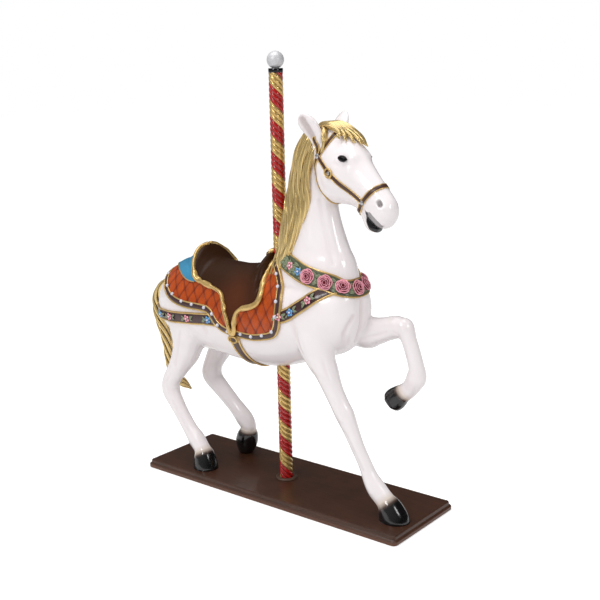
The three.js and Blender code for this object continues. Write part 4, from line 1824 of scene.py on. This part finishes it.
@dataclass
class Straps:
    """The breast straps and the breeching, maroon with gilt edges, flowers and leaves."""

    breast: tuple = ((30, 722), (82, 724), (124, 741), (187, 783), (251, 826), (288, 842))
    breech: tuple = ((-210, 669), (-276, 666), (-362, 658), (-478, 648), (-541, 647), (-590, 650))
    breech_back: tuple = ((-622, -62, 652), (-630, -30, 654))
    breech_middle: tuple = (-634, 0, 655)
    half: float = 0.0205
    breast_flowers: tuple = ((82, 724, Bloom.PINK), (132, 747, Bloom.BLUE), (206, 795, Bloom.PINK))
    breech_flowers: tuple = (
        (-267, 667, Bloom.BLUE), (-382, 657, Bloom.PINK), (-485, 648, Bloom.PINK), (-548, 648, Bloom.BLUE),
    )

    def lines(self, skin: Skin) -> list[tuple[str, Track, tuple, tuple[int, ...]]]:
        """Lays the straps' middle lines.

        Args:
            skin: The casting's skin.

        Returns:
            Each strap's name, its middle line, its flowers and the sides that they are on.
        """
        found = []
        for side, name in ((-1, "right"), (1, "left")):
            corners = [tuple(skin.beside(x, z, side)) for x, z in self.breast]
            track = Track.lay(skin, corners)
            found.append((f"breast_strap_{name}", track, self.breast_flowers, (side,)))
        right = [tuple(skin.beside(x, z, -1)) for x, z in self.breech]
        right += [tuple(mm(*p)) for p in self.breech_back]
        left = [(x, -y, z) for x, y, z in right[::-1]]
        track = Track.lay(skin, [*right, tuple(mm(*self.breech_middle)), *left])
        return [*found, ("breeching", track, self.breech_flowers, (-1, 1))]

    def build(self, skin: Skin, gilding: Gilding, garden: Garden) -> None:
        """Builds the straps and sets their flowers.

        Args:
            skin: The casting's skin.
            gilding: Where their gilt edging goes.
            garden: Where their flowers go.
        """
        for name, track, flowers, sides in self.lines(skin):
            piece = band(name, track, self.half, 0.0045, 0.002)
            install(piece, "white_gloss", MAROON)
            for shift in (-self.half, self.half):
                gilding.edge(track.aside(shift), 3.0, 3.8, 4.5)
            for side in sides:
                for x, z, colour in flowers:
                    garden.flower(track, skin.beside(x, z, side), colour)


@dataclass
class Garden:
    """Gathers the flowers and leaves of the harness."""

    pink: bmesh.types.BMesh = field(default_factory=bmesh.new)
    blue: bmesh.types.BMesh = field(default_factory=bmesh.new)
    hearts: bmesh.types.BMesh = field(default_factory=bmesh.new)
    leaves: bmesh.types.BMesh = field(default_factory=bmesh.new)
    roses: bmesh.types.BMesh = field(default_factory=bmesh.new)

    def flower(self, track: Track, spot: Vector, colour: Bloom, lift: float = 0.006) -> None:
        """Sets a small flower with a leaf on either side.

        Args:
            track: The strap's middle line.
            spot: Its place.
            colour: Its colour.
            lift: How far it stands off the skin.
        """
        near = int(np.argmin(np.linalg.norm(track.points - np.array(spot), axis=1)))
        place = track.seat_at(near / (len(track.points) - 1), lift)
        Blossom().add({Bloom.PINK: self.pink, Bloom.BLUE: self.blue}[colour], self.hearts, place)
        for turn in (0.0, math.pi):
            stem = place @ Matrix.Rotation(turn, 4, "Z") @ Matrix.Translation((0.013, 0, -0.001))
            Leaf().add(self.leaves, stem, 0.45)
            Leaf().add(self.leaves, stem, -0.5, 0.8)

    def build(self) -> None:
        """Turns what was gathered into pieces."""
        gathered = (
            ("pink", self.pink, ROSE_PINK, False),
            ("blue", self.blue, PETAL_BLUE, False),
            ("hearts", self.hearts, FLOWER_HEART, False),
            ("leaves", self.leaves, LEAF, True),
            ("roses", self.roses, ROSE_PINK, True),
        )
        for name, bm, finish, thin in gathered:
            piece = cast_off(bm, f"flowers_{name}")
            if thin:
                wall = piece.modifiers.new("wall", "SOLIDIFY")
                wall.thickness, wall.offset = 0.001, 0.0
                settle(piece)
                # Painted shade where the leaves and petals shut each other in.
                shade_hollows(piece, 0.005)
            install(piece, "white_gloss", finish)


@dataclass
class RoseCollar:
    """The collar of leaves and roses round the foot of the neck."""

    line: tuple = (  # [x, y, z] of its middle from the withers down the right side to the chest
        (-4, -52, 938), (20, -72, 936), (60, -92, 924), (108, -104, 907), (150, -112, 891),
        (188, -106, 878), (253, -91, 861), (312, -66, 848), (340, -30, 843), (350, 0, 842),
    )
    roses: tuple = (
        (188, -106, 878), (253, -91, 861), (312, -68, 848), (349, -14, 846),
        (337, 40, 845), (296, 77, 853), (236, 96, 866), (174, 110, 882),
    )
    small: tuple = ((108, -101, 908, Bloom.PINK), (146, -112, 893, Bloom.BLUE))
    half: float = 0.032
    leaf_step: float = 0.0125
    leaf_rows: int = 4

    def build(self, skin: Skin, gilding: Gilding, garden: Garden) -> None:
        """Builds the collar.

        Args:
            skin: The casting's skin.
            gilding: Where its gilt edging goes.
            garden: Where its flowers go.
        """
        right = [tuple(mm(*p)) for p in self.line]
        track = Track.lay(skin, [*right, *[(x, -y, z) for x, y, z in right[-2::-1]]])
        piece = band("collar_bed", track, self.half, 0.005, 0.003, 12)
        # Painted shade: the bed between the leaves is darkened all over.
        mark(piece, "depth", np.full(len(piece.data.vertices), 0.75))
        install(piece, "white_gloss", LEAF)
        for shift in (-self.half, self.half):
            gilding.edge(track.aside(shift), 2.8, 3.4, 4.5)
        count = int(track.length / self.leaf_step)
        for i in range(count):
            for j in range(self.leaf_rows):
                wobble = math.sin(i * 12.9898 + j * 78.233) * 43758.5453
                chance = wobble - math.floor(wobble)
                share = (j + 0.5 * (i % 2) + 0.25) / self.leaf_rows * 2 - 1
                place = track.seat_at((i + 0.5) / count, 0.0065, self.half * share * 0.68)
                turn = (chance - 0.5) * 0.9 + (math.pi - share * 0.5 if (i + j) % 2 else share * 0.5)
                Leaf().add(garden.leaves, place, turn, 0.9 + 0.25 * chance)
        for rose in self.roses:
            near = int(np.argmin(np.linalg.norm(track.points - np.array(mm(*rose)), axis=1)))
            Rose().add(garden.roses, track.seat_at(near / (len(track.points) - 1), 0.008))
        for side in (-1, 1):
            for x, y, z, colour in self.small:
                garden.flower(track, mm(x, y * -side, z), colour, 0.009)


@dataclass
class Bridle:
    """The eyes and the bridle: brown straps with gilt edges, bosses and buckles.

    Points are [x, y, z] on the right of the straight head, in millimetres.
    """

    eye: tuple = (335, -57, 1293)
    straps: tuple = (
        (
            "cheek",
            ((219, -60, 1296), (252, -66, 1268), (285, -68, 1242), (347, -58, 1195), (413, -44, 1148)),
            8.2,
        ),
        ("crown", ((221, -58, 1298), (214, -54, 1330), (204, -44, 1366), (196, -20, 1392)), 7.0),
        ("chin", ((412, -44, 1147), (399, -40, 1133), (388, -26, 1117), (382, 0, 1112)), 8.0),
        (
            "throat",
            (
                (215, -54, 1286), (201, -52, 1246), (206, -50, 1196), (228, -40, 1156),
                (244, -20, 1146), (250, 0, 1142),
            ),
            6.4,
        ),
    )
    brow: tuple = ((226, -58, 1298), (244, -56, 1322), (262, -50, 1346), (278, -34, 1376), (284, 0, 1390))
    nose: tuple = ((413, -44, 1148), (436, -44, 1172), (458, -40, 1194), (476, -24, 1208), (484, 0, 1214))
    bosses: tuple = ((219, -60, 1296, 9.5), (413, -44, 1148, 8.5))
    buckle: tuple = (285, -68, 1242)
    buckle_lean: tuple = (347, -58, 1195)  # where the buckle's length points
    broad: float = 8.2  # half width of the brow and nose bands
    step: float = 0.003
    eye_half: tuple = (0.0245, 0.0122, 0.0112)

    def corners(self, rows: Iterable[Sequence[float]], side: int) -> list[tuple[float, float, float]]:
        """Carries corners of the right side to the turned head, in metres; side 1 is the left."""
        placed_rows = turned_head(np.array([(x, -y * side, z) for x, y, z in rows], float)) * MM
        return [tuple(row) for row in placed_rows]

    def eyes(self) -> None:
        """Sets the glossy eyeballs between their lids."""
        bm = bmesh.new()
        long, deep, tall = self.eye_half
        for side in (-1, 1):
            made = bmesh.ops.create_uvsphere(bm, u_segments=40, v_segments=24, radius=1.0)["verts"]
            for vert in made:
                pinch = 1 - 0.45 * abs(vert.co.x) ** 3
                vert.co = Vector((vert.co.x * long, vert.co.y * deep, vert.co.z * tall * pinch))
            lean = Matrix.Rotation(-0.24 * -side, 4, "Z") @ Matrix.Rotation(0.12, 4, "Y")
            head = Matrix.Rotation(Casting.head_turn, 4, "Z")
            spot = Vector(self.corners([self.eye], side)[0])
            bmesh.ops.transform(bm, matrix=Matrix.Translation(spot) @ head @ lean, verts=made)
        piece = cast_off(bm, "eyes")
        install(piece, "white_gloss", EYE_BLACK)

    def build(self, head: Skin, gilding: Gilding) -> None:
        """Builds the eyes, the straps and their metalwork.

        Args:
            head: The head's skin.
            gilding: Where the gilt edging goes.
        """
        self.eyes()
        lines = []
        for side, name in ((-1, "right"), (1, "left")):
            for strap, rows, half in self.straps:
                track = Track.lay(head, self.corners(rows, side), self.step)
                lines.append((f"bridle_{strap}_{name}", track, half))
        for strap, rows in (("brow", self.brow), ("nose", self.nose)):
            whole = self.corners(rows, -1) + self.corners(rows[-2::-1], 1)
            lines.append((f"bridle_{strap}", Track.lay(head, whole, self.step), self.broad))
        for name, track, half in lines:
            piece = band(name, track, half * MM, 0.0022, 0.0012, 6)
            install(piece, "white_gloss", BRIDLE_BROWN)
            for shift in (-half, half):
                gilding.edge(track.aside(shift * MM), 1.7, 2.0, 2.2)
        self.metalwork(head, gilding)

    def metalwork(self, head: Skin, gilding: Gilding) -> None:
        """Sets the bosses and buckles.

        Args:
            head: The head's skin.
            gilding: Where the gilt parts go.
        """
        silver = bmesh.new()
        for side in (-1, 1):
            for x, y, z, radius in self.bosses:
                spot, normal = head.settle(Vector(self.corners([(x, y, z)], side)[0]))
                place = normal.to_track_quat("Z", "X").to_matrix().to_4x4()
                place.translation = spot + normal * 0.0035
                stud(silver, place @ Matrix.Diagonal((1, 1, 0.5, 1)), radius * MM)
            spot, normal = head.settle(Vector(self.corners([self.buckle], side)[0]))
            lean = Vector(self.corners([self.buckle_lean], side)[0]) - spot
            place = seat_on(spot + normal * 0.005, normal, lean)
            stud(silver, place @ Matrix.Diagonal((1.1, 1, 0.4, 1)), 0.0062)
            hoop(gilding.bm, place, 0.017, 0.0145, 0.0032)
        piece = cast_off(silver, "bridle_bosses")
        install(piece, "white_gloss", STEEL_LEAF)


# ---- Hair ----------------------------------------------------------------------------------------


def carved(angle: float) -> float:
    """The radius of a carved lock at an angle: ridges with grooves between them."""
    broad, fine = abs(math.cos(angle * 2.5)) ** 0.6, abs(math.cos(angle * 5)) ** 0.7
    return LOWEST + (1 - LOWEST) * (0.5 * broad + 0.5 * fine)


def rope(angle: float) -> float:
    """The radius of the tail at an angle: fewer and rounder ridges than a lock has."""
    return LOWEST + (1 - LOWEST) * abs(math.cos(angle * 3)) ** 0.7


@dataclass
class Hair:
    """The mane, the forelock and the tail, carved in waving locks."""

    neck: tuple
    winding: float = 7.5  # how far a lock of the mane is twisted, in radians
    mane: tuple = (  # [share where it starts, angle there, share where it ends, angle there, half width]
        (1.03, -20, 0.30, -16, 15), (1.03, 0, 0.2, 4, 16), (1.03, 18, 0.12, 18, 17),
        (1.02, 34, 0.06, 27, 17), (1.01, 50, 0.05, 35, 17), (1.0, 64, 0.05, 42, 17),
        (0.99, 78, 0.06, 49, 16), (0.98, 92, 0.08, 56, 15), (0.96, 103, 0.13, 63, 13),
        (0.9, 42, 0.0, 38, 13), (0.85, 70, 0.05, 48, 12),
    )
    tip: tuple = (
        (62, -58, 960, 20, 13), (44, -64, 925, 19, 12), (28, -62, 900, 17, 11), (14, -62, 882, 13, 9),
        (2, -62, 872, 7, 6), (-4, -60, 874, 3, 3),
    )
    forelock: tuple = (  # [side where it starts, and where its tip lies: forward, side, up]
        (-34, 316, -50, 1358), (-22, 338, -36, 1350), (-8, 356, -16, 1343), (8, 369, 6, 1337),
        (22, 371, 24, 1331), (34, 362, 40, 1328),
    )
    strand: tuple = (
        (214, -28, 1394, 9, 9), (236, -46, 1376, 12, 10), (248, -56, 1348, 10, 8),
        (242, -60, 1320, 6, 6), (232, -61, 1302, 2, 2),
    )
    tail: tuple = (
        (-590, 0, 752, 16, 16), (-618, 0, 752, 16, 16), (-669, 0, 722, 22, 22), (-697, 0, 676, 26, 26),
        (-700, 0, 630, 27, 27), (-689, 0, 578, 27, 26), (-672, 0, 528, 26, 24), (-658, 0, 474, 22, 22),
        (-655, 0, 425, 20, 20), (-642, 0, 376, 22, 20), (-608, 0, 338, 24, 20), (-568, 0, 316, 17, 12),
        (-532, 0, 302, 4, 4),
    )

    def on_neck(self, share: float, angle: float, lift: float) -> Vector:
        """The point on the neck at a share of its height and an angle from its crest.

        Args:
            share: The share of the neck's height.
            angle: The angle in degrees, more than 0 to the right.
            lift: How far off the skin, in millimetres.

        Returns:
            The point in millimetres.
        """
        rows = fair(self.neck, 8)
        xu, zu, xl, zl, half = rows[int(round(min(max(share, 0), 1) * (len(rows) - 1)))]
        deep = Vector(((xl - xu) / 2, 0, (zl - zu) / 2))
        turn = math.radians(angle)
        deep = deep.normalized() * ((deep.length + lift) * math.cos(turn))
        over = Vector((0.12, 0, 0.32)) * max(share - 1, 0) * 1000
        return deep + Vector(((xu + xl) / 2, -(half + lift) * math.sin(turn), (zu + zl) / 2)) + over

    def mane_locks(self, bm: bmesh.types.BMesh) -> None:
        """Adds the mane.

        Args:
            bm: The mesh it is added to.
        """
        for n, (top, start, foot, end, half) in enumerate(self.mane):
            rows = []
            for i in range(19):
                t = i / 18
                wave = 7 * math.sin(t * 10 + n * 0.35)
                lift = 4 + 4 * math.sin(n * 2.4 + t * 5)
                at = self.on_neck(top + (foot - top) * t, start + (end - start) * t**1.8 + wave, lift)
                size = half * min(1.0, 0.55 + 2.5 * t) * min(1.0, 0.25 + 4 * (1 - t))
                rows.append((at.x, at.y, at.z, size, size * 0.8))
            add_loft(bm, limb_sections(rows, 5, self.winding), 60, carved)
        add_loft(bm, limb_sections(self.tip, 8, 2.5), 60, carved)

    def forelock_locks(self, bm: bmesh.types.BMesh) -> None:
        """Adds the forelock, falling over the brow, and a strand before each ear.

        Args:
            bm: The mesh it is added to.
        """
        verts = []
        for n, (y, x_tip, y_tip, z_tip) in enumerate(self.forelock):
            near = math.sin(n * 2.1)
            half_way = (0.5 * (300 + x_tip), 0.5 * (y + y_tip), 0.5 * (1376 + z_tip) + 8, 11, 9)
            rows = [
                (182, y * 0.5, 1388, 8, 9), (205, y * 0.65, 1400, 13, 12), (245, y * 0.85, 1401, 14, 12),
                (284, y + near * 3, 1388, 13, 11), half_way,
                (x_tip - 8, y_tip - 2, z_tip + 9, 6, 5), (x_tip, y_tip, z_tip, 2, 2),
            ]
            verts += add_loft(bm, limb_sections(rows, 6, 3.0), 60, carved)
        for side in (-1, 1):
            rows = [(x, -y * side, *rest) for x, y, *rest in self.strand]
            verts += add_loft(bm, limb_sections(rows, 6, 3.0), 60, carved)
        turn = Matrix.Rotation(Casting.head_turn, 4, "Z")
        bmesh.ops.rotate(bm, cent=mm(Casting.head_x, 0, 0), matrix=turn, verts=verts)

    def tail_locks(self, bm: bmesh.types.BMesh) -> None:
        """Adds the tail, one thick twisted lock."""
        add_loft(bm, limb_sections(self.tail, 10, 11.0), 96, rope)

    def build(self) -> None:
        """Builds the hair."""
        fills = (("mane", self.mane_locks), ("forelock", self.forelock_locks), ("tail", self.tail_locks))
        for name, fill in fills:
            bm = bmesh.new()
            carving(bm)
            fill(bm)
            piece = cast_off(bm, name)
            # Painted shade where the locks shut each other in, on top of their grooves' painted shade.
            shade_hollows(piece, 0.014)
            install(piece, "white_gloss", GILT)


# ---- Stand ---------------------------------------------------------------------------------------


def strands(angle: float) -> float:
    """The radius of the pole at an angle: six rounded strands."""
    return 0.83 + 0.17 * abs(math.sin(angle * 3)) ** 0.55


@dataclass
class Stand:
    """The moulded plate, the twisted pole, its foot ring, its band and its ball."""

    length: float = 1.22
    width: float = 0.384
    corner: float = 0.018
    arris: float = 0.003
    edge: tuple = ((3, 0), (14, 0), (17, 2), (19, 5.5), (20, 7), (23, 8), (29, 9), (31.5, 10), (33, 12))
    pole_x: float = -0.025
    pole_radius: float = 0.026
    lead: float = 0.12
    pole_foot: float = 0.0333
    pole_top: float = 1.579
    phase: float = -1.62
    step: float = 0.0055
    foot_ring: tuple = (  # [radius, height above the pole's foot] in millimetres
        (26.8, 0), (42, 0), (43, 1.5), (42.5, 4), (40, 6.5), (36, 8.6), (32, 8.2), (29, 6.5), (26.8, 6),
        (26.8, 0),
    )
    band: tuple = ((0, 0), (25.6, 0), (26.3, 1), (26.3, 14), (25.6, 15), (0, 15))
    gap: float = 0.3
    ball: float = 31.0
    ball_middle: float = 1623.5

    def plate(self) -> None:
        """Builds the plate: a rounded board drawn up through its mouldings."""
        bm = bmesh.new()
        bmesh.ops.create_grid(bm, x_segments=1, y_segments=1, size=0.5)
        foot_length, foot_width = self.length - 2 * self.arris, self.width - 2 * self.arris
        scale = Matrix.Diagonal((foot_length, foot_width, 1, 1))
        bmesh.ops.transform(bm, matrix=scale, verts=bm.verts)
        bmesh.ops.bevel(
            bm, geom=bm.verts[:], offset=self.corner, offset_type="OFFSET", segments=10, profile=0.5,
            affect="VERTICES", material=-1,
        )
        risen = bmesh.ops.extrude_face_region(bm, geom=bm.faces[:])["geom"]
        top = [g for g in risen if isinstance(g, bmesh.types.BMFace)]
        raised = [g for g in risen if isinstance(g, bmesh.types.BMVert)]
        grow = Matrix.Diagonal((self.length / foot_length, self.width / foot_width, 1, 1))
        bmesh.ops.transform(bm, matrix=Matrix.Translation((0, 0, self.arris)) @ grow, verts=raised)
        for (z, inset), (next_z, next_inset) in zip(self.edge, self.edge[1:]):
            bmesh.ops.inset_region(
                bm, faces=top, thickness=max(next_inset - inset, 0.001) * MM, depth=(next_z - z) * MM,
                use_even_offset=True, use_boundary=True,
            )
        piece = cast_off(bm, "plate_board")
        piece.data.set_sharp_from_angle(angle=math.radians(32))
        points = positions(piece)
        # lighter amber towards the bottom of the edge
        mark(piece, "lower_amber", eased(points[:, 2], 0.019, 0.006) * 0.75)
        install(piece, "walnut", PLATE_WALNUT, nodes=("base_plate",))

    def pole(self) -> None:
        """Builds the pole: six rounded strands wound left-handed, three red and three gold."""
        bm = bmesh.new()
        carving(bm)
        height = self.pole_top - self.pole_foot
        count = int(height / self.step)
        sections = []
        for i in range(count + 1):
            z = self.pole_foot + height * i / count
            turn = self.phase - 2 * math.pi * (z - self.pole_foot) / self.lead
            deep = Vector((math.cos(turn), math.sin(turn), 0)) * self.pole_radius
            wide = Vector((-math.sin(turn), math.cos(turn), 0)) * self.pole_radius
            sections.append(placed(Vector((self.pole_x, 0, z)), deep, wide))
        # The grooves between the strands get painted shade.
        add_loft(bm, sections, 72, strands)
        for face in bm.faces:
            middle = face.calc_center_median()
            turn = math.atan2(middle.y, middle.x - self.pole_x) - self.phase
            turn += 2 * math.pi * (middle.z - self.pole_foot) / self.lead
            face.material_index = 0 if (turn / (2 * math.pi)) % 1 < 0.5 else 1
        piece = cast_off(bm, "pole_twist")
        install(piece, "pole_paint", POLE_RED, POLE_GOLD, nodes=("pole",))

    def turned(
        self, name: str, profile: Sequence[tuple[float, float]], finish: Paint, slot: str, node: str
    ) -> None:
        """Turns a piece round the pole's axis.

        Args:
            name: The piece's name.
            profile: Its [radius, height] corners in millimetres, from its foot up and back.
            finish: Its finish.
            slot: The record's material slot.
            node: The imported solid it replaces.
        """
        bm = bmesh.new()
        verts = [bm.verts.new(Vector((self.pole_x + r * MM, 0, z * MM))) for r, z in profile]
        edges = [bm.edges.new(pair) for pair in zip(verts, verts[1:])]
        bmesh.ops.spin(
            bm, geom=verts + edges, cent=(self.pole_x, 0, 0), axis=(0, 0, 1), angle=2 * math.pi, steps=64,
            use_merge=True,
        )
        bmesh.ops.remove_doubles(bm, verts=bm.verts, dist=1e-6)
        piece = cast_off(bm, name)
        piece.data.set_sharp_from_angle(angle=math.radians(40))
        install(piece, slot, finish, nodes=(node,))

    def build(self) -> None:
        """Builds the stand."""
        self.plate()
        self.pole()
        foot = self.pole_foot / MM
        ring = [(radius, foot + up) for radius, up in self.foot_ring]
        self.turned("foot_ring", ring, RING_BROWN, "flange_brown", "pole_flange")
        low = self.pole_top / MM + self.gap
        band_profile = [(radius, low + up) for radius, up in self.band]
        self.turned("pole_band", band_profile, CHROME, "ferrule_chrome", "pole_ferrule")
        foot = low + self.band[-1][1] + self.gap
        start = math.acos((self.ball_middle - foot) / self.ball)
        ball, last = [(0, foot)], 32
        for i in range(last + 1):
            angle = start + (math.pi - start) * i / last
            radius = 0 if i == last else self.ball * math.sin(angle)
            ball.append((radius, self.ball_middle - self.ball * math.cos(angle)))
        self.turned("ball", ball, BALL_SILVER, "ball_silver", "ball_finial")


# ---- Studio --------------------------------------------------------------------------------------


@dataclass(frozen=True)
class Studio:
    """A pale floor, soft lights and the camera."""

    camera_at: tuple[float, float, float] = (2.3561, -2.8178, 1.5983)
    azimuth: float = 39.14
    elevation: float = 13.05
    roll: float = -1.32
    lens: float = 60.46
    surroundings: tuple[float, float] = (0.34, 0.82)  # the dimmest and the brightest side of the room
    mirrored: tuple[float, float] = (0.04, 0.42)  # the same, as gloss shows it
    brightest: tuple[float, float, float] = (-0.35, -0.5, 0.79)  # where the brightest side is
    glow: float = 0.42  # what the floor adds to its own light, to the camera only

    def camera(self) -> None:
        """Sets the camera up at the standing viewer's angle."""
        data = bpy.data.cameras.new("camera")
        data.lens, data.sensor_width, data.clip_end = self.lens, 36.0, 50.0
        camera = bpy.data.objects.new("camera", data)
        a, e, r = (math.radians(v) for v in (self.azimuth, self.elevation, self.roll))
        back = Vector((math.sin(a) * math.cos(e), -math.cos(a) * math.cos(e), math.sin(e)))
        across = Vector((0, 0, 1)).cross(back).normalized()
        up = back.cross(across)
        right = across * math.cos(r) + up * math.sin(r)
        top = up * math.cos(r) - across * math.sin(r)
        camera.matrix_world = Matrix((right, top, back)).transposed().to_4x4()
        camera.location = self.camera_at
        bpy.context.scene.collection.objects.link(camera)
        bpy.context.scene.camera = camera

    def light(self, name: str, at: Vector, aim: Vector, size: float, power: float) -> None:
        """Hangs one soft square light.

        Args:
            name: Its name.
            at: Its place.
            aim: Where it points.
            size: Its side in metres.
            power: Its power in watts.
        """
        data = bpy.data.lights.new(name, "AREA")
        data.size, data.energy = size, power
        lamp = bpy.data.objects.new(name, data)
        lamp.location = at
        lamp.rotation_euler = (aim - at).to_track_quat("-Z", "Y").to_euler()
        bpy.context.scene.collection.objects.link(lamp)

    def floor(self) -> None:
        """Lays the pale floor, lighter to the camera than to the other rays."""
        bm = bmesh.new()
        bmesh.ops.create_grid(bm, x_segments=1, y_segments=1, size=30.0)
        floor = cast_off(bm, "floor", smooth=False)
        pale = bpy.data.materials.new("pale_floor")
        pale.use_nodes = True
        w = Wiring(pale.node_tree)
        shader = w.node(
            "BsdfPrincipled",
            {
                "Base Color": (0.9, 0.9, 0.9, 1.0),
                "Roughness": 0.9,
                "Specular IOR Level": 0.0,
                "Emission Color": (1.0, 1.0, 1.0, 1.0),
                "Emission Strength": w.spread(w.camera_ray(), 0, 1, 0, self.glow),
            },
        )
        w.node("OutputMaterial", {"Surface": shader.outputs["BSDF"]})
        floor.data.materials.append(pale)

    def room(self) -> None:
        """Surrounds the scene with soft light, dimmer to gloss and plain white to the camera."""
        world = bpy.data.worlds.new("studio")
        bpy.context.scene.world = world
        world.use_nodes = True
        w = Wiring(world.node_tree)
        way = w.node("TexCoord").outputs["Generated"]
        toward = w.node("VectorMath", {0: way, 1: self.brightest}, operation="DOT_PRODUCT")
        facing = toward.outputs["Value"]
        soft = w.spread(facing, -0.9, 1.0, *self.surroundings)
        shiny = w.spread(facing, 0.1, 1.0, *self.mirrored)
        gloss = w.node("LightPath").outputs["Is Glossy Ray"]
        strength = w.node("Mix", {0: gloss, 2: soft, 3: shiny}, data_type="FLOAT").outputs[0]
        strength = w.node("Mix", {0: w.camera_ray(), 2: strength, 3: 1.0}, data_type="FLOAT").outputs[0]
        sky = w.node("Background", {"Color": (1.0, 1.0, 1.0, 1.0), "Strength": strength})
        w.node("OutputWorld", {"Surface": sky.outputs["Background"]})

    def build(self) -> None:
        """Sets the floor, the surroundings, the lights and the camera."""
        self.floor()
        self.room()
        middle = Vector((0, 0, 0.8))
        self.light("top_light", Vector((-0.2, -0.3, 3.6)), middle, 2.2, 38)
        self.light("key_light", Vector((0.0, -3.1, 2.9)), middle, 0.8, 26)
        self.light("fill_light", Vector((3.0, -0.8, 2.2)), middle, 0.7, 12)
        bpy.context.scene.view_settings.view_transform = "Standard"
        self.camera()


# ---- Assembly ------------------------------------------------------------------------------------


def main() -> None:
    """Builds every piece in order."""
    logging.basicConfig(level=logging.INFO, format="%(message)s")
    Studio().build()
    casting = Casting()
    body, head = casting.build()
    skin = Skin(body)
    gilding, garden = Gilding(), Garden()
    Blanket().build(skin, gilding)
    Saddle().build(skin, gilding)
    Straps().build(skin, gilding, garden)
    RoseCollar().build(skin, gilding, garden)
    Bridle().build(Skin(head), gilding)
    garden.build()
    edging = cast_off(gilding.bm, "gilt_edging")
    # Painted shade where the edging is shut in.
    shade_hollows(edging, 0.01)
    install(edging, "white_gloss", TRIM_GILT)
    Hair(casting.neck).build()
    Stand().build()
    casting.cut(body, keep_top=False)
    casting.cut(head, keep_top=True)
    install(body, "white_gloss", WHITE, nodes=("horse",))
    install(head, "white_gloss", WHITE)


if __name__ == "__main__":
    main()
